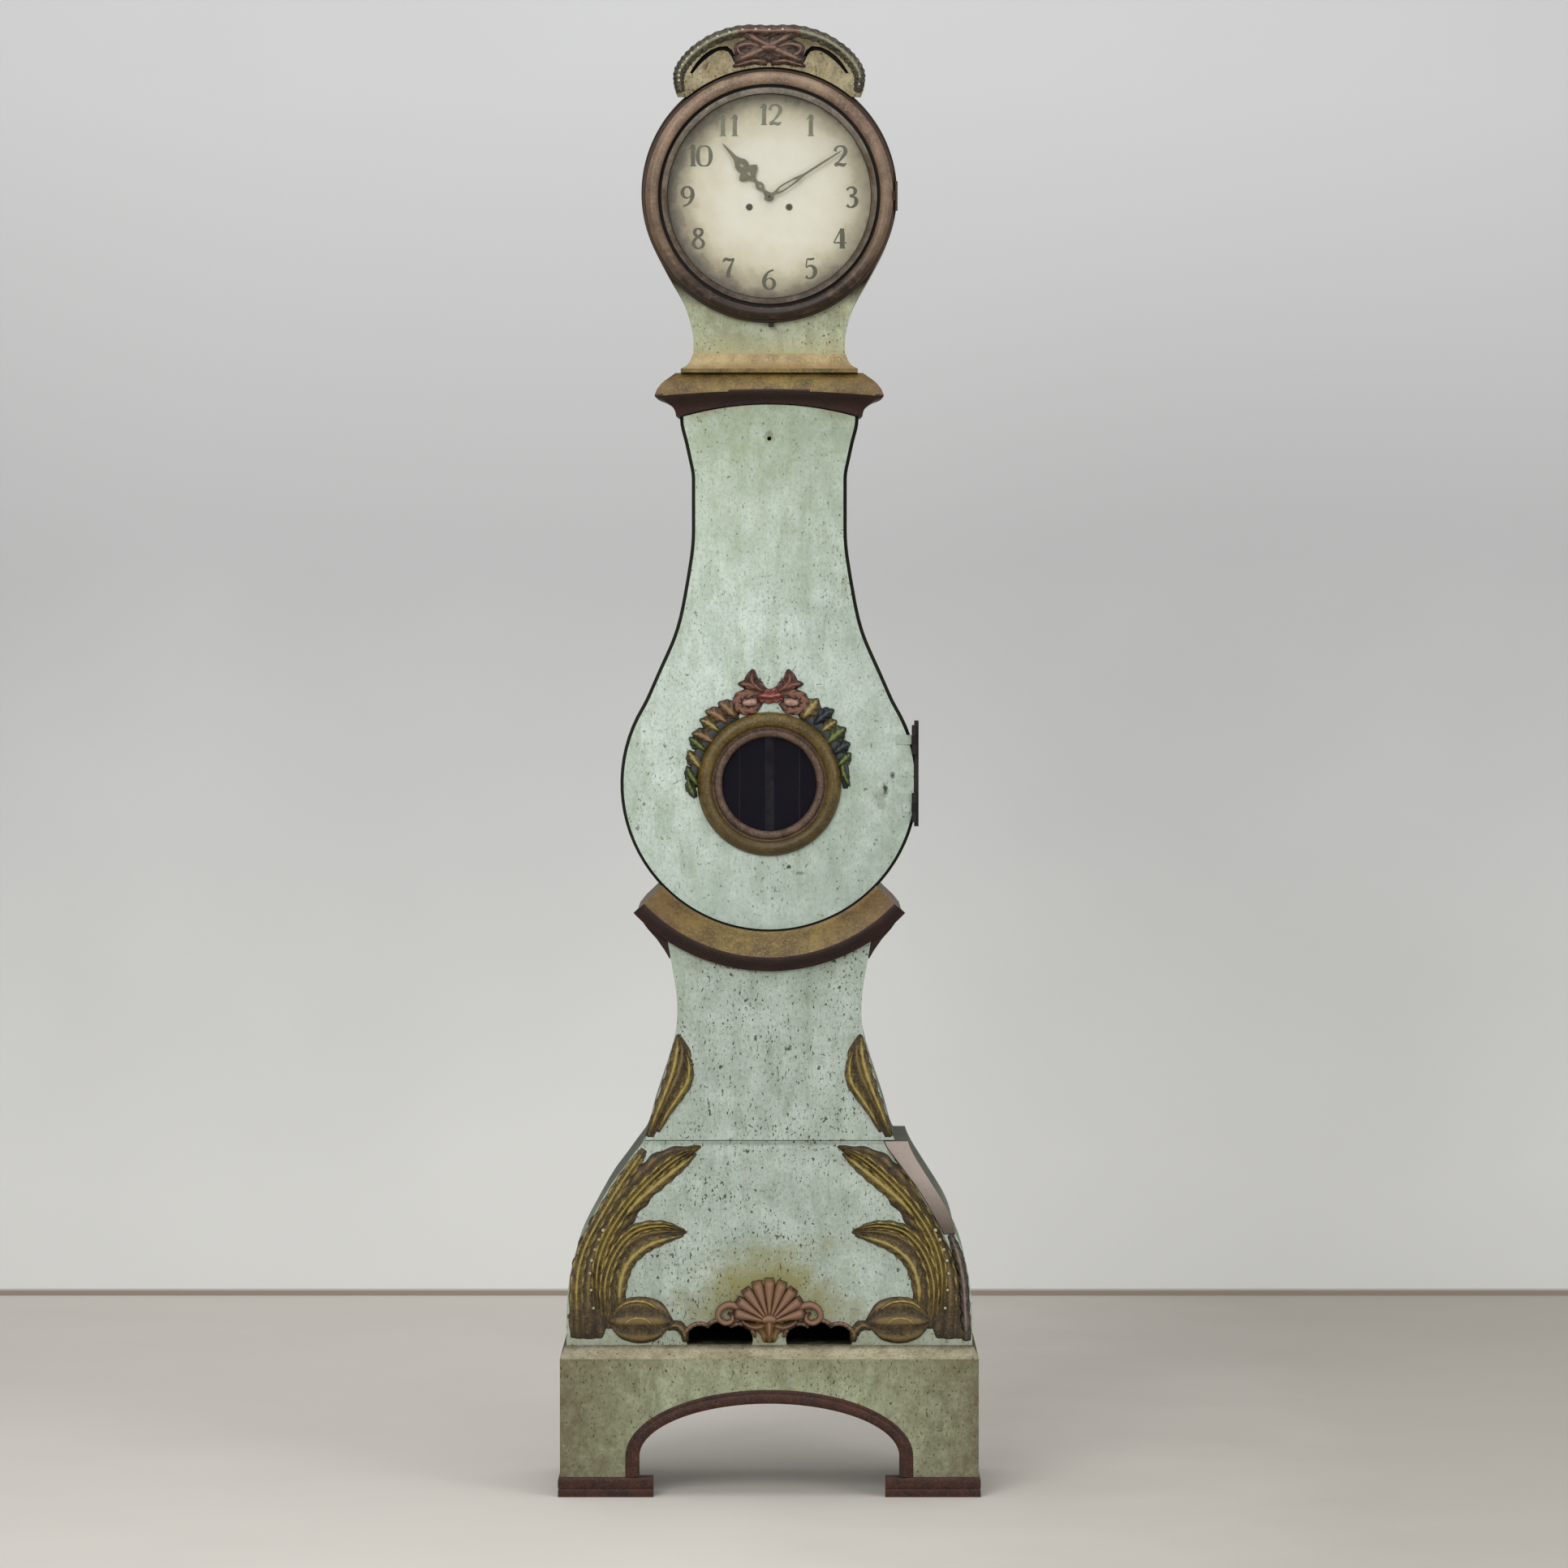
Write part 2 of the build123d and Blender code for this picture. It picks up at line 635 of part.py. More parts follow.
def make_trunk():
    rail = trunk_body(0, face_y, carcass_y)
    rail = rail - rod_y(0, arch_z, arch_radius, face_y - 1, carcass_y + 1)
    frame = box(-shoulder_half, shoulder_half, face_y, rear_y, trunk_top, frame_top)
    cheek_x = waist_half - side_board
    frame -= box(-cheek_x - 0.5, cheek_x + 0.5, cheek_front - 4, rear_y - 14, trunk_top - 1, frame_top + 1)
    node("trunk_top", rail, frame)

    stile = box(hinge_line + joint_gap, belly_radius, face_y, carcass_y, stile_low, stile_high)
    node("hinge_stile", stile)

    low = keep_between(base_body(0, rear_y, depth_half), cap_top, waist_joint)
    high = keep_between(trunk_body(0, rear_y, depth_half), waist_joint, trunk_top)
    screw_hole = rod_y(screw_x, screw_height, screw_radius, rear_y - 1, depth_half + 1)
    upper = hood_body(1.0, rear_y, depth_half, trunk_top)
    node("back_boards", low + high - screw_hole, upper)

    cheek = box(cheek_x - side_board, cheek_x, cheek_front, cheek_back, waist_low, plate_low - seat_thick)
    seat = box(-cheek_x, cheek_x, cheek_front, seat_back, plate_low - seat_thick, plate_low)
    for x in (-line_x, line_x):
        seat -= rod_z(x, drum_y + drum_long / 2, 6.0, plate_low - seat_thick - 1, plate_low + 1)
    node("seat_board", seat, cheek, mirrored(cheek))


def cornice_section(x):
    """Heights of the cornice's lower edge and nose at a distance from the middle."""
    low = arch_z + sqrt(arch_radius ** 2 - x ** 2)
    nose = nose_crown - x ** 2 / (2 * nose_radius)
    return low, nose


def cornice_profile(x):
    """(proud, height) points of the cornice at a distance from the middle."""
    low, nose = cornice_section(x)
    cove = nose - low
    cap = frame_top - nose
    p = cornice_proud
    return [(0, low), (5, low), (7, low + 0.3 * cove), (12, low + 0.55 * cove), (21, low + 0.78 * cove),
            (p - 4, nose - 2), (p, nose), (p, nose + 4), (p - 3, nose + 0.42 * cap),
            (p - 11, nose + 0.72 * cap), (p - 22, nose + 0.9 * cap), (6, frame_top), (0, frame_top)]


def make_cornice():
    steps = 5
    faces = []
    for i in range(-steps, steps + 1):
        x = shoulder_half * i / steps
        lean = {-steps: -1, steps: 1}.get(i, 0)
        points = [(x + lean * p, face_y - p, z) for p, z in cornice_profile(abs(x))]
        faces.append(Face(Wire.make_polygon(points, close=True)))
    front = loft(faces, ruled=True)
    start = Face(Wire.make_polygon([(shoulder_half + p, face_y - p, z)
                                    for p, z in cornice_profile(shoulder_half)], close=True))
    end = Face(Wire.make_polygon([(shoulder_half + p, rear_y, z)
                                  for p, z in cornice_profile(shoulder_half)], close=True))
    side = loft([start, end], ruled=True)
    node("cornice", front, side, mirrored(side))


# ------------------------------------------------------------------ hinges

def hinge_knuckles(x, y, r, z0, z1, pin):
    """Three knuckles round an upright pin: the outer two and pin, and the middle one."""
    third = (z1 - z0) / 3
    fixed = rod_z(x, y, r, z0, z0 + third) + rod_z(x, y, r, z1 - third, z1) + rod_z(x, y, pin, z0, z1)
    middle = rod_z(x, y, r, z0 + third + joint_gap, z1 - third - joint_gap)
    middle -= rod_z(x, y, pin + run_fit, z0, z1)
    return fixed, middle


def make_trunk_hinges():
    y = face_y - trunk_hinge_forward
    fixed_parts = []
    moving_parts = []
    for z0 in (stile_low + hinge_end, stile_high - hinge_end - trunk_hinge_long):
        z1 = z0 + trunk_hinge_long
        third = trunk_hinge_long / 3
        fixed, middle = hinge_knuckles(hinge_line, y, trunk_knuckle, z0, z1, trunk_pin)
        for a, b in ((z0, z0 + third), (z1 - third, z1)):
            fixed += box(hinge_line + 1.0, belly_radius - 0.5, face_y - leaf_plate, face_y, a, b)
            fixed += box(hinge_line + 1.0, hinge_line + 3.0, y, face_y, a, b)
        low = z0 + third + joint_gap
        high = z1 - third - joint_gap
        reach = sqrt(door_radius ** 2 - (abs(z0 + 0.5 * trunk_hinge_long - belly_height) + 8) ** 2)
        inner = min(reach, hinge_line) - 14.0
        flap = box(inner, hinge_line - 2.2, face_y - joint_gap - leaf_plate - 0.1, face_y - joint_gap - 0.1,
                   low, high)
        flap += box(hinge_line - 3.2, hinge_line - 2.2, y, face_y - joint_gap - 0.1, low, high)
        fixed_parts.append(fixed)
        moving_parts.append(middle + flap)
    node("trunk_hinge_fixed", *fixed_parts)
    node("trunk_hinge_moving", *moving_parts)


def make_hood_hinge():
    y = face_y - hood_pin_forward
    z0 = dial_height - hood_hinge_long / 2
    z1 = dial_height + hood_hinge_long / 2
    third = hood_hinge_long / 3
    fixed, middle = hinge_knuckles(hood_pin_x, y, hood_knuckle, z0, z1, hood_pin)
    for a, b in ((z0, z0 + third), (z1 - third, z1)):
        fixed += box(hood_pin_x - 2.0, hood_pin_x + 1.0, y, face_y, a, b)
    node("hood_hinge_fixed", fixed)
    low = z0 + third + joint_gap
    high = z1 - third - joint_gap
    flap = box(bezel_flat, bezel_flat + 1.0, face_y - 18, face_y - 2.0, low, high)
    flap += box(bezel_flat, hood_pin_x - 1.2, y - 2.0, y + 1.2, low, high)
    flap -= rod_z(hood_pin_x, y, hood_pin + run_fit, z0, z1)
    node("hood_hinge_moving", middle + flap)


# ------------------------------------------------------------------ trunk door

def make_trunk_door():
    door = trunk_body(door_inset, door_face_y, door_y)
    door = door & rod_y(0, arch_z, arch_radius - door_gap, door_face_y - 1, door_y + 1)
    door -= box(hinge_line - 0.5, 300, door_face_y - 1, door_y + 1, belly_height - 200, belly_height + 200)
    door -= rod_y(0, belly_height, window_hole, door_face_y - 1, door_y + 1)
    door -= rod_y(0, lock_height, keyhole, door_face_y - 1, door_y + 1)
    node("trunk_door", door)

    f = door_face_y
    inner = [(window_open, f + 3), (window_open, f - 4), (window_open + 2, f - 7), (window_open + 5, f - 8.5),
             (window_open + 9, f - 8), (window_ring_groove, f - 4), (window_ring_groove + 1.5, f - 4)]
    middle = (window_ring_groove + window_ring_outer) / 2
    outer = [(middle - 8, f - 9), (middle - 4, f - 13), (middle, f - ring_proud), (middle + 5, f - 12.5),
             (middle + 9, f - 8), (window_ring_outer, f - 3), (window_ring_outer, f),
             (window_hole - joint_gap, f), (window_hole - joint_gap, f + 3)]
    node("window_ring", turned_y(inner + outer, 0, belly_height))
    node("window_glass", rod_y(0, belly_height, window_hole - glass_gap, f + 3, f + 3 + pane))

    case = box(-lock_half, lock_half, door_y, door_y + lock_deep, lock_height - 20, lock_height + 20)
    slot = box(-bolt_half - joint_gap, bolt_half + joint_gap, door_y + 4, door_y + 10,
               lock_height + 1 - joint_gap, lock_height + 21)
    case -= slot
    case -= rod_y(0, lock_height - 12, keyhole, door_y - 1, door_y + lock_deep + 1)
    node("door_lock", case)
    bolt_top = arch_crown - door_gap - bolt_rest_gap
    bolt = box(-bolt_half, bolt_half, door_y + 4 + joint_gap, door_y + 10 - joint_gap, lock_height + 1,
               bolt_top)
    node("lock_bolt", bolt)


def make_garland():
    clear = rod_y(0, belly_height, window_ring_outer + 0.4, door_face_y - 30, door_face_y + 1)
    outline = [(x, belly_height + z) for x, z in garland_leaf]
    knot = (bow_knot[0], belly_height + bow_knot[1])
    y0 = door_face_y - bow_thick
    bow = rod_y(*knot, bow_knot_radius, y0, door_face_y)
    for x, up, r in bow_loops:
        z = belly_height + up
        bow += rod_y(x, z, r, y0, door_face_y)
        along = hypot(x - knot[0], z - knot[1])
        dx = bow_band * (z - knot[1]) / along
        dz = -bow_band * (x - knot[0]) / along
        bow += plate_of([(knot[0] + dx, knot[1] + dz), (knot[0] - dx, knot[1] - dz), (x - dx, z - dz),
                         (x + dx, z + dz)], y0, door_face_y)
    bow = bow - clear
    left = plate_of(outline, door_face_y - garland_thick, door_face_y) - clear
    right = mirrored(left)
    node("ribbon_bow", bow)
    node("garland", left - bow, right - bow)


# ------------------------------------------------------------------ hood

def crest_edges(d, side):
    """The edges of one side of the crest's outline, d inside its edge."""
    run = inset([(x, dial_height + z) for x, z in crest_run], d)
    return [straight((run[0][0] - 30, run[0][1]), run[0], side), through(run, side)]


def crest_body(d, y0, y1):
    """The crest's full outline, d inside its edge."""
    return slab(both_sides(lambda side: crest_edges(d, side)), y0, y1)


def make_hood():
    floor = hood_floor
    front = hood_body(0, face_y, carcass_y, floor)
    front -= rod_y(0, dial_height, hood_hole, face_y - 1, carcass_y + 1)
    node("hood_front", front)
    shell_end = rear_y - 1.0
    shell = hood_body(0, carcass_y, shell_end, floor) - hood_body(shell_board, carcass_y - 1, shell_end + 1,
                                                                    floor - 1)
    node("hood_shell", shell)

    rise = foot_half - neck_half
    low = [(-foot_half, face_y - rise), (foot_half, face_y - rise), (foot_half, shell_end),
           (-foot_half, shell_end)]
    high = [(-neck_half - 1, face_y - 1), (neck_half + 1, face_y - 1), (neck_half + 1, shell_end),
            (-neck_half - 1, shell_end)]
    faces = []
    for corners, z in ((low, floor), (low, floor + 7), (high, foot_high)):
        faces.append(Face(Wire.make_polygon([(x, y, z) for x, y in corners], close=True)))
    foot = loft(faces, ruled=True)
    foot -= box(-neck_half, neck_half, face_y, shell_end + 1, floor - 1, foot_high + 1)
    node("hood_foot_moulding", foot)


def make_crest():
    ring_clear = rod_y(0, dial_height, bezel_outer + crest_gap, face_y - 60, face_y + 1)
    y0 = face_y - crest_board_thick
    panel = crest_body(2.0, y0, face_y)
    pocket = plate_of([(x, dial_height + z) for x, z in crescent], y0 - 1, y0 + crescent_deep)
    node("crest_board", panel - pocket - mirrored(pocket) - ring_clear)
    y2 = y0 - crest_band_thick
    band = crest_body(0, y2, y0) - crest_body(crest_band_wide, y2 - 1, y0 + 1) - ring_clear
    d = dial_height
    arms = []
    for side in (-1, 1):
        arms.append(plate_of([(side * 44, d + 191), (side * 48, d + 201), (-side * 34, d + 227),
                              (-side * 42, d + 218)], y2, y0))
    ribbon = arms[0] + arms[1] + box(-45, 45, y2 + 2, y0, d + 186, d + 198)
    ribbon = ribbon & crest_body(crest_band_wide + 0.3, y2 - 1, y0)
    ribbon = ribbon - ring_clear
    node("crest_carving", *band.solids(), *ribbon.solids())


def make_bezel():
    b = face_y - joint_gap - 0.3
    f = b - bezel_proud
    profile = [(bezel_open + 5.5, b), (bezel_open + 5.5, b - 3.6), (bezel_open, b - 3.6), (bezel_open, b - 7),
               (bezel_open + 2, b - 10.5), (bezel_open + 5.5, b - 13), (bezel_open + 9, b - 14),
               (bezel_open + 9.7, b - 9), (bezel_open + 12.7, b - 9), (bezel_open + 13.5, b - 17),
               (bezel_open + 16, b - 21.5), (bezel_open + 19.5, f), (bezel_open + 24, f),
               (bezel_open + 28, b - 20.5), (bezel_open + 31, b - 16.5), (bezel_open + 32, b - 12),
               (bezel_open + 33.5, b - 11), (bezel_outer, b - 9), (bezel_outer, b)]
    ring = turned_y(profile, 0, dial_height)
    ring -= box(bezel_flat, 260, f - 1, b + 1, dial_height - 60, dial_height + 60)
    node("hood_bezel", ring)
    node("hood_glass", rod_y(0, dial_height, bezel_open + 5.5 - glass_gap, b - 3.4, b - 3.4 + pane))

    # iron pull under the bezel's rim
    z = dial_height - bezel_outer
    pull = box(pull_x - pull_half, pull_x + pull_half, b - 8, b - 2, z - pull_drop, z + 1.0)
    node("hood_pull", pull - rod_y(0, dial_height, bezel_outer, b - 30, b + 1))


# ------------------------------------------------------------------ dial and hands

def make_dial():
    front = dial_back_y - dial_plate
    dial = rod_y(0, dial_height, dial_radius, front, dial_back_y)
    dial -= rod_y(0, dial_height, hour_pipe + 1.0, front - 1, dial_back_y + 1)
    for x in (-winding_x, winding_x):
        dial -= rod_y(x, winding_z, winding_hole, front - 1, dial_back_y + 1)
    node("dial", dial)


def hand(points, angle, y):
    """A flat hand drawn pointing up from the centre, turned clockwise by an angle."""
    turned = []
    for x, z in points:
        a = radians(angle)
        turned.append((x * cos(a) + z * sin(a), dial_height - x * sin(a) + z * cos(a)))
    return plate_of(turned, y, y + hand_thick)


def make_hands():
    n = minute_hand_length
    right = [(4.2, 3), (2.4, 8), (3.4, 13), (4.8, 19), (5.0, 26), (4.4, 36), (3.8, 46), (2.4, 54), (1.7, 60),
             (1.5, 95), (1.0, n - 6)]
    tail = [(-4.2, -3), (-2, -8), (2, -8), (4.2, -3)]
    outline = right + [(0, n)] + [(-x, z) for x, z in reversed(right)] + tail
    blade = hand(outline, minute_hand_angle, minute_hand_y)
    hole = hand([(0, 14), (2.3, 20), (2.5, 28), (1.6, 40), (0, 47), (-1.6, 40), (-2.5, 28), (-2.3, 20)],
                minute_hand_angle, minute_hand_y)
    hub = centre_arbor_radius + hand_hub
    blade = blade + rod_y(0, dial_height, hub + 1.2, minute_hand_y, minute_hand_y + hand_thick) - hole
    blade += rod_y(0, dial_height, hub, minute_hand_y - 1.6, minute_hand_y)
    blade -= rod_y(0, dial_height, centre_arbor_radius, minute_hand_y - 5, minute_hand_y + 5)
    node("minute_hand", blade)

    n = hour_hand_length
    right = [(5, 4), (2.6, 10), (2.6, 14), (5.2, 17), (6.0, 20.5), (5.2, 24), (2.6, 27), (2.8, 33), (7, 37),
             (14, 41), (17, 46), (12.5, 50), (7.5, 52.5), (10, 57), (9.5, 63), (5.5, 69), (3.0, 75),
             (2.0, 86), (1.2, n - 5)]
    outline = right + [(0, n)] + [(-x, z) for x, z in reversed(right)] + [(-5, -4), (0, -7), (5, -4)]
    blade = hand(outline, hour_hand_angle, hour_hand_y)
    for z0, z1, w in ((17.5, 23.5, 3.0), (40, 50, 3.0), (56, 65, 3.0)):
        middle = (z0 + z1) / 2
        blade -= hand([(0, z0), (w, middle), (0, z1), (-w, middle)], hour_hand_angle, hour_hand_y)
    blade += rod_y(0, dial_height, hour_pipe + hand_hub, hour_hand_y, hour_hand_y + hand_thick)
    blade -= rod_y(0, dial_height, hour_pipe, hour_hand_y - 5, hour_hand_y + 5)
    node("hour_hand", blade)


# ------------------------------------------------------------------ wheels

def toothed(teeth, module, rows, x, z, phase, y0, y1):
    """A wheel or pinion with its centre at (x, z); a tooth points to the angle phase."""
    points = []
    for k in range(teeth):
        centre = phase + 360.0 * k / teeth
        flank = [(o, -h) for o, h in rows] + [(o, h) for o, h in reversed(rows)]
        for out, half in flank:
            a = radians(centre + half * 360.0 / teeth)
            r = (teeth / 2 + out) * module
            points.append((x + r * cos(a), z + r * sin(a)))
    return plate_of(points, y0, y1)


def crossed(wheel, x, z, rim, hub, y0, y1):
    """Cut four windows between the rim and the hub of a wheel."""
    middle = (rim + hub) / 2
    hole = (rim - hub) / 2
    for k in range(4):
        a = radians(45 + 90 * k)
        wheel -= rod_y(x + middle * cos(a), z + middle * sin(a), hole, y0 - 1, y1 + 1)
    return wheel


def meshing(wheel_at, pinion_at, pinion_teeth):
    """Angles of a wheel's tooth and its pinion's tooth that put them in mesh."""
    a = degrees(atan2(pinion_at[1] - wheel_at[1], pinion_at[0] - wheel_at[0]))
    return a, a + 180.0 + 180.0 / pinion_teeth


def arbor_at(origin, distance, angle):
    """A point at a distance and angle (degrees from +X towards +Z) from another."""
    return (origin[0] + distance * cos(radians(angle)), origin[1] + distance * sin(radians(angle)))


def arbor(at, r=pivot):
    """A plain arbor with its pivots in both plates."""
    return rod_y(at[0], at[1], r, front_plate_y, plate_rear_y)


centre_at = (0.0, dial_height)
time_at = (winding_x, winding_z)
strike_at = (-winding_x, winding_z)
escape_at = (0.0, escape_z)
centre_to_third = (centre_teeth + third_leaves) * centre_module / 2
third_to_escape = (third_teeth + escape_leaves) * third_module / 2
rise = escape_z - dial_height
third_up = (centre_to_third ** 2 - third_to_escape ** 2 + rise ** 2) / (2 * rise)
third_at = (sqrt(centre_to_third ** 2 - third_up ** 2), dial_height + third_up)
pin_at = arbor_at(strike_at, (strike_great_teeth + pin_leaves) * strike_module / 2, 95.0)
strike_third_at = arbor_at(pin_at, (pin_teeth + strike_third_leaves) * pin_module / 2, 84.0)
fly_at = arbor_at(strike_third_at, (strike_third_teeth + fly_leaves) * fly_module / 2, 62.0)
minute_wheel_at = (0.0, dial_height - (cannon_teeth + minute_teeth) * minute_module / 2)
centre_wheel_y = great_y + 8.0
third_wheel_y = inside_y + 11.0
escape_wheel_y = back_plate_y - 7.0
pin_wheel_y = back_plate_y - 5.5
strike_third_y = inside_y + 22.0


def drum(at):
    """A winding drum with its arbor and winding square."""
    groove = 4
    profile = [(0, drum_y - 1.5), (drum_radius + 2.4, drum_y - 1.5), (drum_radius + 2.4, drum_y)]
    for i in range(groove):
        y = drum_y + drum_long * i / groove
        profile += [(drum_radius - 0.1, y), (drum_radius - 0.1, y + drum_long / groove - 1.0),
                    (drum_radius - 0.6, y + drum_long / groove - 0.5)]
    profile += [(drum_radius - 0.1, drum_end_y), (drum_radius + 2.4, drum_end_y),
                (drum_radius + 2.4, great_y - joint_gap), (0, great_y - joint_gap)]
    body = turned_y(profile, at[0], at[1])
    body += rod_y(at[0], at[1], 2.8, front_plate_y - 1.0, drum_y)
    body += rod_y(at[0], at[1], 2.2, drum_end_y, plate_rear_y)
    half = winding_square
    body += box(at[0] - half, at[0] + half, dial_back_y - dial_plate - winding_end, front_plate_y,
                at[1] - half, at[1] + half)
    return body


def great_wheel(at, teeth, module, phase):
    """A great wheel, loose on the back of its drum's arbor."""
    wheel = toothed(teeth, module, wheel_rows, at[0], at[1], phase, great_y, great_y + wheel_thick)
    wheel = crossed(wheel, at[0], at[1], teeth * module / 2 - 3.5, 7.0, great_y, great_y + wheel_thick)
    wheel += rod_y(at[0], at[1], 6.0, great_y + wheel_thick, great_y + wheel_thick + 3.0)
    return wheel - rod_y(at[0], at[1], 2.2 + run_fit, great_y - 1, great_y + 10)


def make_going_train():
    great_phase, centre_phase = meshing(time_at, centre_at, centre_leaves)
    node("time_drum", drum(time_at))
    node("time_great_wheel", great_wheel(time_at, great_teeth, great_module, great_phase))

    wheel_phase, third_phase = meshing(centre_at, third_at, third_leaves)
    y = centre_wheel_y
    body = toothed(centre_teeth, centre_module, wheel_rows, 0, dial_height, wheel_phase, y, y + 2)
    body = crossed(body, 0, dial_height, centre_teeth * centre_module / 2 - 3, 5, y, y + 2)
    body += toothed(centre_leaves, great_module, pinion_rows, 0, dial_height, centre_phase,
                    great_y - 1.0, great_y + wheel_thick + 2.0)
    cannon_y = front_plate_y - 4.0
    cannon_phase = -90.0 + 180.0 / cannon_teeth
    body += toothed(cannon_teeth, minute_module, motion_rows, 0, dial_height, cannon_phase,
                    cannon_y, cannon_y + 3.0)
    body += rod_y(0, dial_height, centre_arbor_radius, minute_hand_y - 3.0, cannon_y)
    body += rod_y(0, dial_height, cannon_pipe, minute_hand_y + hand_thick, cannon_y)
    body += rod_y(0, dial_height, 1.8, cannon_y, plate_rear_y)
    node("centre_arbor", body)

    y = third_wheel_y
    wheel_phase, escape_phase = meshing(third_at, escape_at, escape_leaves)
    body = toothed(third_teeth, third_module, wheel_rows, *third_at, wheel_phase, y, y + 2)
    body = crossed(body, *third_at, third_teeth * third_module / 2 - 3, 4, y, y + 2)
    body += toothed(third_leaves, centre_module, pinion_rows, *third_at, third_phase,
                    centre_wheel_y - 2, centre_wheel_y + 4)
    node("third_wheel", body + arbor(third_at, 1.2))

    y = escape_wheel_y
    points = []
    root = escape_radius - 3.0
    for k in range(escape_teeth):
        a = 360.0 * k / escape_teeth
        for r, turn in ((root, -5.0), (escape_radius, -0.4), (escape_radius, 0.4), (root, 1.6)):
            points.append((r * cos(radians(a + turn)), escape_z + r * sin(radians(a + turn))))
    body = plate_of(points, y, y + 1.6)
    body = crossed(body, 0, escape_z, root - 2.0, 3.5, y, y + 1.6)
    body += toothed(escape_leaves, third_module, pinion_rows, *escape_at, escape_phase,
                    third_wheel_y - 2, third_wheel_y + 4)
    node("escape_wheel", body + arbor(escape_at, 1.2))


def make_motion_work():
    y = front_plate_y - 4.0
    x, z = minute_wheel_at
    up = 90.0
    body = toothed(minute_teeth, minute_module, motion_rows, x, z, up, y + 0.5, y + 2.5)
    hour_module = 2 * (dial_height - z) / (minute_leaves + hour_teeth)
    body += toothed(minute_leaves, hour_module, motion_rows, x, z, up, y - 4.6, y + 0.5)
    body -= rod_y(x, z, pivot + run_fit, y - 6, y + 6)
    node("minute_wheel", body)

    down = -90.0 + 180.0 / hour_teeth
    wheel = toothed(hour_teeth, hour_module, motion_rows, 0, dial_height, down, y - 4.0, y - 2.0)
    wheel += rod_y(0, dial_height, hour_pipe, hour_hand_y - 1.0, y - 1.5)
    wheel -= rod_y(0, dial_height, cannon_pipe + run_fit, hour_hand_y - 5, y + 1)
    node("hour_wheel", wheel)


def make_striking_train():
    node("strike_drum", drum(strike_at))
    great_phase, pin_phase = meshing(strike_at, pin_at, pin_leaves)
    node("strike_great_wheel", great_wheel(strike_at, strike_great_teeth, strike_module, great_phase))

    wheel_phase, third_phase = meshing(pin_at, strike_third_at, strike_third_leaves)
    y = pin_wheel_y
    body = toothed(pin_teeth, pin_module, wheel_rows, *pin_at, wheel_phase, y, y + 2)
    body += toothed(pin_leaves, strike_module, pinion_rows, *pin_at, pin_phase,
                    great_y - 1, great_y + wheel_thick + 2)
    for k in range(8):
        pin = arbor_at(pin_at, 14.0, 45.0 * k)
        body += rod_y(pin[0], pin[1], 0.8, y - 3, y)
    node("pin_wheel", body + arbor(pin_at))

    wheel_phase, fly_phase = meshing(strike_third_at, fly_at, fly_leaves)
    y = strike_third_y
    body = toothed(strike_third_teeth, fly_module, wheel_rows, *strike_third_at, wheel_phase, y, y + 2)
    body += toothed(strike_third_leaves, pin_module, pinion_rows, *strike_third_at, third_phase,
                    pin_wheel_y - 1.5, pin_wheel_y + 3.5)
    node("strike_third_wheel", body + arbor(strike_third_at, 1.2))

    body = toothed(fly_leaves, fly_module, pinion_rows, *fly_at, fly_phase, y - 2, y + 4)
    body += box(fly_at[0] - 10, fly_at[0] + 10, y + 8, y + 26, fly_at[1] - 0.3, fly_at[1] + 0.3)
    node("fly", body + arbor(fly_at, 1.0))

    body = arbor(hammer_at)
    y = bell_y
    arm = plate_of([(hammer_at[0] - 3, hammer_at[1] - 3), (hammer_at[0] + 3, hammer_at[1] + 2),
                    (hammer_head[0] + 2, hammer_head[1]), (hammer_head[0] - 2, hammer_head[1])],
                   y - 1.5, y + 1.5)
    head = rod_x(hammer_head[0] - 6, hammer_head[0] + 6, y, hammer_head[1], 5.0)
    node("hammer", body + arm + head)


def rod_x(x0, x1, y, z, r):
    """A round bar along X."""
    return Pos((x0 + x1) / 2, y, z) * Rot(0, 90, 0) * Cylinder(r, x1 - x0)


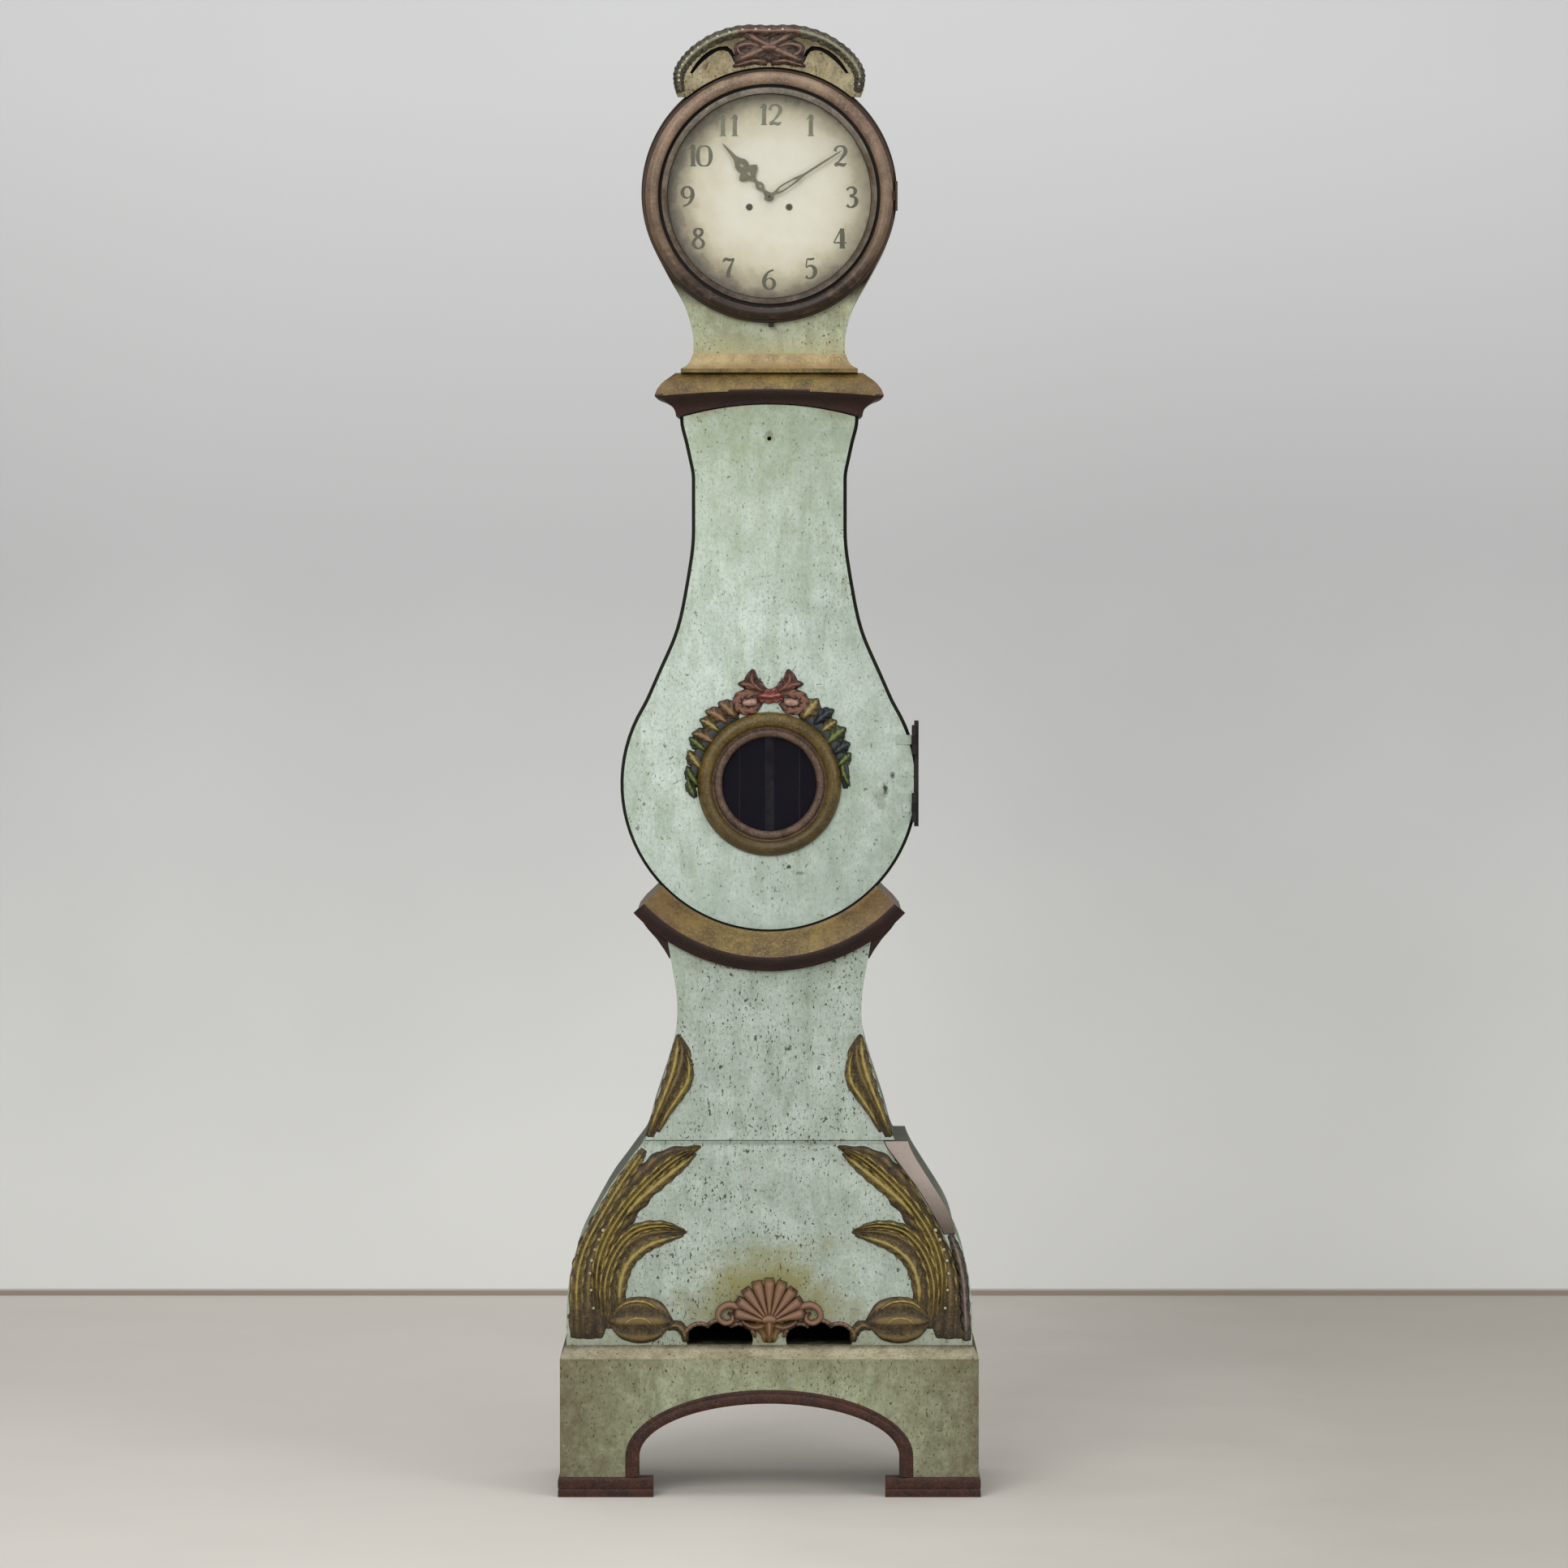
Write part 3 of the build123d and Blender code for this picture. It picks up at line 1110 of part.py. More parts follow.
def make_movement_frame():
    plates = []
    for y in (front_plate_y, back_plate_y):
        body = box(-plate_half, plate_half, y, y + plate, plate_low, plate_high)
        for at, r in ((centre_at, 1.8), (third_at, 1.2), (escape_at, 1.2), (pin_at, pivot), (fly_at, 1.0),
                      (strike_third_at, 1.2), (hammer_at, pivot), ((0, anchor_height), pivot)):
            body -= rod_y(at[0], at[1], r + run_fit, y - 1, y + plate + 1)
        drum_pivot = 2.8 if y == front_plate_y else 2.2
        for at in (time_at, strike_at):
            body -= rod_y(at[0], at[1], drum_pivot + run_fit, y - 1, y + plate + 1)
        plates.append(body)
    pillars = []
    for x in (-plate_half + 8, plate_half - 8):
        for z in (plate_low + 9, plate_high - 9):
            pillars.append(rod_y(x, z, 4.0, inside_y, back_plate_y))
            pillars.append(rod_y(x, z, 3.0, dial_back_y, front_plate_y))
    stud = rod_y(*minute_wheel_at, pivot, front_plate_y - 10.0, front_plate_y)
    node("movement_frame", *plates, *pillars, stud)

    top = anchor_height + 6.0
    cock = box(-24, 24, plate_rear_y, pendulum_y + 8, top, top + 4)
    cock += box(-24, -20, plate_rear_y, plate_rear_y + 3, top - 12, top)
    cock += box(20, 24, plate_rear_y, plate_rear_y + 3, top - 12, top)
    cock += box(-5, 5, pendulum_y - 3, pendulum_y + 3, anchor_height + joint_gap, top)
    post_y = back_plate_y - 3.0
    bar = bell_mouth + bell_high + 8.0
    stand = box(-5, 5, post_y, back_plate_y, plate_high - 14, bar + 4)
    stand += box(-5, 5, bell_y - 4, post_y, bar, bar + 4)
    stand += box(-bell_x - 5, bell_x + 5, bell_y - 4, bell_y + 4, bar, bar + 4)
    for x in (-bell_x, bell_x):
        stand += rod_z(x, bell_y, 2.5, bell_mouth + bell_high, bar)
    node("movement_brackets", cock, stand)
    bells = []
    for x in (-bell_x, bell_x):
        r = bell_radius
        h = bell_high
        w = bell_wall
        outer = [(0, h), (r * 0.35, h), (r * 0.72, h * 0.86), (r * 0.93, h * 0.5), (r, 0)]
        inner = [(r - w, 0), (r * 0.93 - w, h * 0.48), (r * 0.70 - w, h * 0.82 - w * 0.5), (r * 0.33, h - w),
                 (0, h - w)]
        profile = outer + inner
        bells.append(turned_z([(a, bell_mouth + b) for a, b in profile], x, bell_y))
    node("bells", *bells)


def make_escapement():
    y = escape_wheel_y - 1.0
    tip = escape_radius + 2.0
    a = radians(42.0)
    tip_x = tip * cos(a)
    tip_z = escape_z + tip * sin(a)
    right = [(3.5, anchor_height + 3.0), (tip_x + 6.0, tip_z + 6.5), (tip_x + 5.5, tip_z - 1.5),
             (tip_x, tip_z - 0.5), (tip_x + 1.0, tip_z + 3.5), (4.0, anchor_height - 3.5)]
    outline = right + [(-x, z) for x, z in reversed(right)]
    body = plate_of(outline, y, y + 3.6) + rod_y(0, anchor_height, pivot, front_plate_y, plate_rear_y + 6.0)
    crutch_y = plate_rear_y + 3.0
    low = anchor_height - 80.0
    body += box(-2, 2, crutch_y, crutch_y + 2, low, anchor_height + 3)
    half = rod_wide / 2 + joint_gap
    body += box(-half - 2, half + 2, crutch_y, crutch_y + 2, low - 6, low)
    body += box(half, half + 2, crutch_y, pendulum_y + 4, low - 6, low)
    body += box(-half - 2, -half, crutch_y, pendulum_y + 4, low - 6, low)
    node("anchor_crutch", body)


def make_pendulum():
    y = pendulum_y
    half = rod_wide / 2
    spring = box(-4, 4, y - 0.3, y + 0.3, anchor_height - 22, anchor_height - 0.1)
    clasp = box(-half - 2, half + 2, y - 3, y + 3, anchor_height - 34, anchor_height - 22)
    low = bob_height - bob_radius - 4.0
    rod = box(-half, half, y - rod_thick / 2, y + rod_thick / 2, low, anchor_height - 34)
    rod += rod_z(0, y, 2.4, low - 14, low)
    nut = rod_z(0, y, 8.0, low - 8, low - 1)
    node("pendulum_rod", spring + clasp + rod + nut)
    edge = 3.0
    t = bob_thick / 2
    profile = [(0, y - t), (bob_radius * 0.45, y - t * 0.92), (bob_radius * 0.8, y - t * 0.55),
               (bob_radius, y - edge), (bob_radius, y + edge), (bob_radius * 0.8, y + t * 0.55),
               (bob_radius * 0.45, y + t * 0.92), (0, y + t)]
    bob = turned_y(profile, 0, bob_height)
    bob -= box(-half - 0.1, half + 0.1, y - rod_thick / 2 - 0.1, y + rod_thick / 2 + 0.1, 700, 1200)
    node("pendulum_bob", bob)


def make_weights():
    y = drum_y + drum_long / 2
    for name, x in (("time", line_x), ("strike", -line_x)):
        low = weight_top - weight_high
        r = weight_radius
        profile = [(0, low), (r - 6, low), (r, low + 5), (r, weight_top - 8), (r - 7, weight_top - 2),
                   (6, weight_top), (0, weight_top)]
        body = turned_z(profile, x, y)
        body += rod_z(x, y, 2.5, weight_top, weight_top + 6)
        body += Pos(x, y, weight_top + 13) * Rot(90, 0, 0) * Torus(6.5, 1.6)
        node("weight_" + name, body)
        hook_top = weight_top + 13 + 6.5 + 1.6
        node("gut_" + name, rod_z(x, y, line_radius, hook_top, winding_z))


make_plinth()
make_base()
make_base_carving()
make_lower_moulding()
make_trunk()
make_cornice()
make_trunk_hinges()
make_trunk_door()
make_garland()
make_hood()
make_crest()
make_bezel()
make_hood_hinge()
make_dial()
make_hands()
make_going_train()
make_motion_work()
make_striking_train()
make_escapement()
make_movement_frame()
make_pendulum()
make_weights()

for name, shape in nodes.items():
    export_step(shape, "parts/" + name + ".step")
print(len(nodes), "nodes")
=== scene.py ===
# %% [markdown]
# # A Swedish longcase clock
# The clock is a tall painted pine case: a plinth, a flared base, a trunk with a round belly, and a
# round hood over the dial. Its solid parts come in ready made, each at its true place. This lesson
# dresses them: it carves the ornament, turns the mouldings, paints the dial, and gives every piece
# the finish of the real one.

import bmesh
import bpy
from math import cos, hypot, pi, radians, sin, sqrt
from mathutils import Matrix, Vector


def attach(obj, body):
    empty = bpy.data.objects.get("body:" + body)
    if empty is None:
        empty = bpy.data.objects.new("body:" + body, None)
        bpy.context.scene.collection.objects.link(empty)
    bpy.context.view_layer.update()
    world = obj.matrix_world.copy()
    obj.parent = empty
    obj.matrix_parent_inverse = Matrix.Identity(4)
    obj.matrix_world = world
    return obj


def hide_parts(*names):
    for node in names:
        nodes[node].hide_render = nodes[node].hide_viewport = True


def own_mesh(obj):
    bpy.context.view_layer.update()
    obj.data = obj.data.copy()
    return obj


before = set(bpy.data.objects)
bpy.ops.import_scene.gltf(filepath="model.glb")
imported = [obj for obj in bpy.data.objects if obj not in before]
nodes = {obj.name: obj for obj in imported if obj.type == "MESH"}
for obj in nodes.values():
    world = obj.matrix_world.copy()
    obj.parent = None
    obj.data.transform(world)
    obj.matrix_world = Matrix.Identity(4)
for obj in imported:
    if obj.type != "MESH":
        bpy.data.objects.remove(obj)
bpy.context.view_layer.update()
scene = bpy.context.scene
print(len(nodes), "solid parts")

# %% [markdown]
# ## Sizes
# Lengths are in millimetres, as on a joiner's drawing, and become metres when a piece is finished.
# X runs to the right, Z up, and the front of the clock faces -Y.

# %% Sizes of the case that the ornament follows
MM = 0.001
FACE = -104.0            # face of the front boards
REAR = 128.0             # face of the back board
BELLY = 1019.6           # height of the centre of the round belly and its window
DIAL = 1857.2            # height of the centre of the dial
DOOR_FACE = FACE - 0.4

# %% [markdown]
# ## Camera
# A tall object is best seen from about eye height and from far away, so that its top and its foot
# aren't drawn apart and its sides stay behind its front. A long lens fills the picture with it.

# %% Camera
CAMERA_AWAY = 9.0        # metres in front of the case
CAMERA_HIGH = 1.40
FRAME_WIDE = 2.241       # metres of the clock's front plane that fill the picture
aim = Vector((0.021, FACE * MM, 1.0196))
camera_data = bpy.data.cameras.new("camera")
camera_data.sensor_width = 36.0
camera = bpy.data.objects.new("camera", camera_data)
camera.location = (aim.x, aim.y - CAMERA_AWAY, CAMERA_HIGH)
camera_data.lens = 36.0 * (aim - camera.location).length / FRAME_WIDE
camera.rotation_euler = (aim - camera.location).to_track_quat("-Z", "Y").to_euler()
scene.collection.objects.link(camera)
scene.camera = camera
print("lens", round(camera_data.lens, 1), "mm")

# %% [markdown]
# ## Helpers for finishes
# Every finish is a small network of nodes on one surface shader. Colours are written as they look
# on a screen, so one function turns them into the linear values that light adds up in. Patterns
# read the place on the piece itself, in metres, so a brush mark is as large on the hood as on the
# plinth.

# %% Colours and nodes
def colour(text):
    """An sRGB hex colour as linear red, green, blue and full alpha."""
    parts = [int(text[i:i + 2], 16) / 255 for i in (1, 3, 5)]
    linear = [p / 12.92 if p <= 0.04045 else ((p + 0.055) / 1.055) ** 2.4 for p in parts]
    return (*linear, 1.0)


def add(tree, kind, links=None, **settings):
    """Add a node. Settings are its properties; links are values or other nodes' outputs, by input."""
    node = tree.nodes.new(kind)
    for name, value in settings.items():
        setattr(node, name, value)
    for name, value in (links or {}).items():
        if isinstance(value, bpy.types.NodeSocket):
            tree.links.new(value, node.inputs[name])
        else:
            node.inputs[name].default_value = value
    return node


def new_finish(name):
    """An empty finish: its node tree, its surface shader and the place of each point in metres."""
    material = bpy.data.materials.new(name)
    material.use_nodes = True
    tree = material.node_tree
    shader = tree.nodes["Principled BSDF"]
    place = tree.nodes.new("ShaderNodeTexCoord").outputs["Object"]
    return material, tree, shader, place


def stretched(tree, place, scale, move=(0, 0, 0)):
    """The place, moved and then stretched, so that a pattern runs along one direction."""
    moved = add(tree, "ShaderNodeVectorMath", {0: place, 1: move}, operation="ADD").outputs[0]
    return add(tree, "ShaderNodeVectorMath", {0: moved, 1: scale}, operation="MULTIPLY").outputs[0]


def cloud(tree, place, size_mm, detail=4.0, rough=0.6, seed=0.0):
    """A cloudy pattern whose blots are about size_mm across, from 0 to 1."""
    moved = add(tree, "ShaderNodeVectorMath", {0: place, 1: (seed, seed, seed)}, operation="ADD").outputs[0]
    return add(tree, "ShaderNodeTexNoise", {"Vector": moved, "Scale": 1000.0 / size_mm, "Detail": detail,
                                            "Roughness": rough}).outputs["Fac"]


def spread(tree, value, low, high, to_low=0.0, to_high=1.0):
    """The value stretched so that low and high come out as to_low and to_high, cut off beyond them."""
    return add(tree, "ShaderNodeMapRange", {"Value": value, "From Min": low, "From Max": high,
                                            "To Min": to_low, "To Max": to_high}).outputs[0]


def mixed(tree, share, first, second):
    """The first colour with a share of the second one over it."""
    node = add(tree, "ShaderNodeMix", {"Factor": share}, data_type="RGBA")
    for name, value in (("A", first), ("B", second)):
        socket = [s for s in node.inputs if s.name == name and s.type == "RGBA"][0]
        if isinstance(value, str):
            socket.default_value = colour(value)
        else:
            tree.links.new(value, socket)
    return [s for s in node.outputs if s.type == "RGBA"][0]


def times(tree, first, second, operation="MULTIPLY"):
    """Two values put together by one step of arithmetic."""
    return add(tree, "ShaderNodeMath", {0: first, 1: second}, operation=operation).outputs[0]


def coated(tree, shader, coat, rough, shine=0.5):
    """Give the surface its colour, its roughness and the strength of its reflections."""
    tree.links.new(coat, shader.inputs["Base Color"])
    shader.inputs["Roughness"].default_value = rough
    shader.inputs["Specular IOR Level"].default_value = shine


def relief(tree, shader, height, depth_mm):
    """Raise and lower the surface by a pattern, depth_mm deep."""
    bump = add(tree, "ShaderNodeBump", {"Height": height, "Distance": depth_mm * MM, "Strength": 1.0})
    tree.links.new(bump.outputs[0], shader.inputs["Normal"])


# %% [markdown]
# ## Old distemper paint
# The case is pine painted with distemper: pigment in glue, brushed on upright, quite matt. In two
# centuries it has picked up brown grime under the mouldings and at the corners, and it is peppered
# with small dark chips where it has flaked to the wood. Some boards are also darkened by painted
# shade, towards the bottom, towards an edge or on one side. So the finish has four layers: the
# coat's own uneven colour, upright brush marks, grime and painted shade by place, and chips. Only
# the grime and the painted shade differ from board to board, so one function makes all the painted
# boards.

# %% Distemper paint
def faded(tree, place, coat, fades, seed):
    """Lay tints over a coat. Each is (axis, clean, full, share, tint).

    A tint grows from clean to full, in metres. Along X it grows to both sides, unless clean is
    negative, when it grows to the right only.
    """
    parts = add(tree, "ShaderNodeSeparateXYZ", {0: place})
    ragged = spread(tree, cloud(tree, place, 22.0, 6.0, 0.75, seed), 0.30, 0.62, 0.35, 1.0)
    for axis, clean, full, share, tint in fades:
        value = parts.outputs[axis]
        if axis == "X" and clean > 0:
            value = times(tree, value, 0.0, "ABSOLUTE")
        grown = times(tree, spread(tree, value, clean, full, 0, share), ragged)
        coat = mixed(tree, grown, coat, tint)
    return coat


def patched(tree, place, coat, patches, seed):
    """Lay ragged patches over a coat: (x, z, half width, half height, share, tint), in millimetres."""
    for x, z, wide, high, share, tint in patches:
        near = stretched(tree, place, (1000 / wide, 0, 1000 / high), (-x * MM, 0, -z * MM))
        away = add(tree, "ShaderNodeVectorMath", {0: near}, operation="LENGTH").outputs["Value"]
        ragged = spread(tree, cloud(tree, place, (wide + high) / 4, 5.0, 0.7, seed), 0.3, 0.7, -0.4, 0.4)
        grown = spread(tree, times(tree, away, ragged, "ADD"), 1.0, 0.35, 0, share)
        coat = mixed(tree, grown, coat, tint)
    return coat


def laid_over(material, tint, share_of):
    """Lay one more tint over a finish. share_of(tree, parts) gives its share from a point's X, Y and Z."""
    tree = material.node_tree
    shader = tree.nodes["Principled BSDF"]
    place = tree.nodes["Texture Coordinate"].outputs["Object"]
    parts = add(tree, "ShaderNodeSeparateXYZ", {0: place}).outputs
    coat = shader.inputs["Base Color"].links[0].from_socket
    tree.links.new(mixed(tree, share_of(tree, parts), coat, tint), shader.inputs["Base Color"])
    return material


def between(tree, value, low, high):
    """1 where the value lies between two limits, else 0."""
    return times(tree, times(tree, value, low, "GREATER_THAN"), times(tree, value, high, "LESS_THAN"))


def distemper(name, pale, middle, deep, grime, chips=0.5, grime_all=0.15, fades=(), patches=(), age=0.0):
    """A painted board, with its own colours, its share of chips and grime, and tints by place, some of them
    grime and some painted shade.
    """
    material, tree, shader, place = new_finish(name)
    streaks = cloud(tree, stretched(tree, place, (1, 1, 0.10)), 3.4, 5.0, 0.65, age)
    strokes = cloud(tree, stretched(tree, place, (1, 1, 0.25)), 24.0, 4.0, 0.6, age + 3)
    blots = cloud(tree, place, 60.0, 5.0, 0.62, age + 7)
    grit = cloud(tree, stretched(tree, place, (1, 1, 0.7)), 4.0, 4.0, 0.75, age + 11)
    coat = mixed(tree, spread(tree, blots, 0.36, 0.62), pale, middle)
    coat = mixed(tree, spread(tree, strokes, 0.50, 0.70, 0, 0.6), coat, deep)
    coat = mixed(tree, spread(tree, streaks, 0.46, 0.66, 0, 0.5), coat, middle)
    coat = mixed(tree, spread(tree, grit, 0.50, 0.66, 0, 0.65), coat, deep)
    coat = mixed(tree, spread(tree, grit, 0.46, 0.34, 0, 0.35), coat, pale)
    dirt = spread(tree, cloud(tree, place, 30.0, 6.0, 0.7, age + 17), 0.45, 0.75, 0, grime_all * 2)
    coat = mixed(tree, dirt, coat, grime)
    coat = faded(tree, place, coat, fades, age + 23)
    coat = patched(tree, place, coat, patches, age + 27)
    herd = spread(tree, cloud(tree, place, 80.0, 3.0, 0.55, age + 37), 0.35, 0.65, 0.0, 0.045)
    marks = None
    for size, level, tall in ((3.6, 0.675, 0.55), (7.5, 0.705, 0.8)):
        flakes = cloud(tree, stretched(tree, place, (1, 1, tall)), size, 3.0, 0.6, age + 31 + size)
        over = times(tree, flakes, times(tree, level - 0.03 * chips, herd, "SUBTRACT"), "SUBTRACT")
        chip = spread(tree, over, 0.0, 0.03, 0, min(0.95, 0.45 + chips))
        marks = chip if marks is None else times(tree, marks, chip, "MAXIMUM")
    coat = mixed(tree, marks, coat, "#3f4034")
    coated(tree, shader, coat, 0.82, 0.25)
    height = times(tree, spread(tree, streaks, 0.3, 0.7, 0, 0.6), times(tree, marks, 0.9), "SUBTRACT")
    relief(tree, shader, height, 0.35)
    return material


PALE = "#c7d3ca"
MIDDLE = "#afbdb2"
DEEP = "#86967f"
# The door is darker at the bottom, towards its edges and on its right side: painted shade. Its greener top
# is grime.
paint_door = distemper(
    "distemper_trunk_door", PALE, MIDDLE, DEEP, "#8b9272", 0.2, 0.12,
    [("Z", 1.26, 1.58, 0.75, "#8a9570"), ("Z", 1.00, 0.82, 0.65, "#8b9b8e"),
     ("X", 0.175, 0.212, 0.40, "#8b967f"), ("X", -0.05, 0.19, 0.65, "#808c7e")],
    [(28, 901, 5, 4, 1.0, "#25261f"), (44, 892, 9, 3, 0.7, "#55594b"), (166, 1012, 5, 11, 1.0, "#2c2d25"),
     (158, 1000, 14, 20, 0.5, "#6d7464"), (176, 1032, 4, 6, 0.9, "#33352b"),
     (0, 1516, 9, 11, 0.7, "#6b7057"),
     (-96, 1560, 34, 26, 0.5, "#837c58"), (98, 1560, 34, 26, 0.5, "#837c58"),
     (108, 1300, 7, 26, 0.5, "#8a8f78")])
paint_base = distemper(
    "distemper_base", "#b3beb4", "#9ca89d", "#758272", "#7d7f5c", 0.95, 0.18,
    [("Z", 0.30, 0.214, 0.55, "#7f7f5e"), ("Z", 0.72, 0.82, 0.40, "#8e9a80")],
    [(0, 290, 120, 85, 1.0, "#85835a"), (0, 268, 150, 50, 0.6, "#7b7751"), (0, 505, 240, 5, 0.5, "#5d6452"),
     (28, 640, 5, 4, 0.9, "#30322a"), (-20, 655, 3, 5, 0.9, "#30322a"),
     (-135, 730, 26, 70, 0.35, "#8b957c")], 41)
paint_neck = distemper(
    "distemper_hood", "#a9ae95", "#93987c", "#757a5e", "#6e6443", 0.4, 0.30,
    [("Z", 1.665, 1.625, 0.9, "#a39a70")],
    [(0, 1672, 60, 30, 0.35, "#aab3a0")], 127)
paint_plinth = distemper(
    "distemper_plinth", "#a6ad90", "#909678", "#6a7054", "#4f4431", 0.8, 0.28,
    [("X", 0.12, 0.29, 0.9, "#5b4f3a"), ("Z", 0.15, 0.20, 0.45, "#6b6248"),
     ("Z", 0.06, 0.02, 0.5, "#4b3f2d")],
    (), 171)
paint_cap = distemper(
    "distemper_plinth_cap", "#b4ae94", "#989175", "#716a52", "#55472f", 0.4, 0.30,
    [("X", 0.18, 0.30, 0.5, "#5f5340"), ("Z", 0.208, 0.2135, 0.85, "#2c2218"),
     ("Y", -0.096, -0.090, 1.0, "#15110d")],
    (), 211)
# The crest's board darkens towards the top, next to the raised rope: painted shade.
paint_crest = distemper(
    "distemper_crest", "#a9a083", "#8a7f61", "#63573d", "#46341f", 0.5, 0.45,
    [("Z", 2.045, 2.072, 0.9, "#4a3926"), ("Z", 2.02, 2.00, 0.6, "#5a4c34")], (), 257)

# %% [markdown]
# ## Bronze paint, brown paint and red paint
# The mouldings, leaves and ribbons are carved wood in thin oil colour: bronze-gold, dark brown and
# iron red. The colour has worn off the ridges and gathered dirt in the hollows, and over that the
# finish paints shade into the hollows and highlights onto the ridges. So pieces that are carved carry
# their own depth, 0 in a hollow and 1 on a ridge, and the finish reads it.

# %% Oil colour on carved and turned wood
def oil_colour(name, low, main, high, depth="", gloss=0.55, blotch=20.0, fades=(), age=0.0):
    """Painted wood. With a depth attribute it is dark in the hollows, from dirt and painted shade, and
    light on the ridges, from rubbed wear and a painted highlight.
    """
    material, tree, shader, place = new_finish(name)
    blots = cloud(tree, place, blotch, 6.0, 0.68, age)
    fine = cloud(tree, place, 3.0, 4.0, 0.7, age + 5)
    coat = mixed(tree, spread(tree, blots, 0.36, 0.66), main, low)
    coat = mixed(tree, spread(tree, fine, 0.50, 0.72, 0, 0.6), coat, high)
    coat = faded(tree, place, coat, fades, age + 9)
    if depth:
        level = add(tree, "ShaderNodeAttribute", attribute_name=depth).outputs["Fac"]
        uneven = times(tree, level, spread(tree, fine, 0.3, 0.7, -0.12, 0.12), "ADD")
        # Light on the ridges as wear and painted highlight, dark in the hollows as dirt and painted shade.
        coat = mixed(tree, spread(tree, uneven, 0.62, 0.95, 0, 0.85), coat, high)
        coat = mixed(tree, spread(tree, uneven, 0.42, 0.10, 0, 0.92), coat, low)
    coated(tree, shader, coat, gloss, 0.35)
    relief(tree, shader, fine, 0.5)
    return material


# Bronze is gold in the middle and brown towards both ends: a painted highlight in the middle and painted
# shade at the ends.
bronze = oil_colour("bronze_painted_moulding", "#40331b", "#766233", "#a38c4a", gloss=0.5, blotch=30,
                    fades=[("X", 0.06, 0.19, 0.85, "#553a22")])
tan = oil_colour("tan_painted_moulding", "#7d6b49", "#a5946a", "#c0ae84", gloss=0.6, blotch=30, age=9,
                 fades=[("Z", 1.622, 1.609, 1.0, "#836640")])
# Dark brown for the undersides of the cornice and the lower moulding: painted shade under their bronze
# noses.
brown = oil_colour("dark_brown_moulding_shade", "#150503", "#2a0f08", "#4b2418", gloss=0.62, blotch=30, age=13)
# The bezel's paint darkens towards the bottom: painted shade.
bezel_low_shade = [("Z", 2.02, 1.80, 0.7, "#4a361f"), ("Z", 1.80, 1.71, 1.4, "#24150a")]
bezel_brown = oil_colour("brown_bezel", "#584639", "#856f5b", "#ad9783", gloss=0.36, blotch=40,
                         fades=bezel_low_shade, age=19)
bezel_rim = oil_colour("russet_bezel_rim", "#150e09", "#2f2015", "#563b26", gloss=0.5, blotch=30,
                       fades=bezel_low_shade, age=23)
# The cove darkens towards the bottom: painted shade.
bezel_cove = oil_colour("grey_bezel_cove", "#4f4940", "#857d71", "#a19a8d", gloss=0.5, blotch=30, age=21,
                        fades=[("Z", 1.985, 1.90, 1.0, "#45351f"), ("Z", 1.85, 1.72, 1.0, "#2b1c10")])
# Near black for the bezel's groove and the lip beside the glass: painted shadow.
groove_shadow_black = oil_colour("black_groove_shadow", "#060504", "#0c0907", "#17110d", gloss=0.7, blotch=30, age=25)
ring_gold = oil_colour("gold_window_ring", "#33280f", "#5f4d22", "#927a3a", gloss=0.4, blotch=24, age=29,
                       fades=[("Z", 1.02, 0.93, 0.8, "#3a2c14")])
ring_bead = oil_colour("brown_window_bead", "#2d2018", "#5b4638", "#86705c", gloss=0.5, blotch=18, age=31)
trim_brown = oil_colour("brown_plinth_bead", "#1a0903", "#3b1a0d", "#64402c", gloss=0.6, blotch=26, age=37)
leaf_low = [("Z", 0.34, 0.23, 0.85, "#453624")]
leaf_gold = oil_colour("olive_gold_leaf", "#2c2212", "#6e5d2d", "#a08e4e", "depth", 0.5, 22, leaf_low, 43)
leaf_body = oil_colour("brown_leaf_body", "#1f170c", "#4e3f26", "#736039", "depth", 0.6, 16, age=47)
leaf_edge = oil_colour("grey_brown_leaf_edge", "#1d1813", "#564c42", "#7b6e63", "depth", 0.6, 16, age=48)
leaf_bead = oil_colour("pale_leaf_bead", "#7b7556", "#a9a485", "#cfcbb2", gloss=0.5, blotch=8, age=49)
shell_red = oil_colour("red_brown_shell", "#1f110a", "#543b2b", "#83644f", "depth", 0.55, 16,
                       [("X", 0.034, 0.010, 0.8, "#7b5f33")], 53)
bow_red = oil_colour("iron_red_ribbon", "#190b07", "#4b2c23", "#75503f", "depth", 0.55, 14, age=59)
bow_knot = oil_colour("rose_red_knot", "#3c1613", "#77382f", "#9d6054", "depth", 0.5, 12, age=58)
bow_pink = oil_colour("pale_pink_ribbon", "#836254", "#aa887a", "#c4a99c", gloss=0.55, blotch=10, age=60)
garland_gold = oil_colour("olive_garland", "#1d180c", "#665830", "#958550", "depth", 0.5, 16, age=61)
garland_rust = oil_colour("rust_garland", "#20140b", "#5d472e", "#84694a", "depth", 0.5, 16, age=63)
garland_shade = oil_colour("blue_black_garland", "#0a0d12", "#1a2025", "#343a3a", "depth", 0.5, 16, age=66)
garland_green = oil_colour("dark_green_garland", "#0c1110", "#3a4424", "#687038", "depth", 0.5, 16, age=65)
crest_leaf = oil_colour("grey_green_laurel", "#191710", "#504c38", "#84806a", "depth", 0.6, 12, age=67)
crest_bead = oil_colour("pale_laurel_berry", "#8a8770", "#b5b29b", "#d8d6c4", gloss=0.6, blotch=8, age=69)
# Dark brown behind the crossed ribbon: painted shade between its loops.
crest_hollow_shade = oil_colour("brown_crest_hollow", "#110a07", "#33241b", "#4d392d", "depth", 0.6, 12, age=73)
crest_ribbon = oil_colour("brown_red_crest_ribbon", "#1d120d", "#4d392e", "#785c4e", "depth", 0.55, 12,
                          age=71)

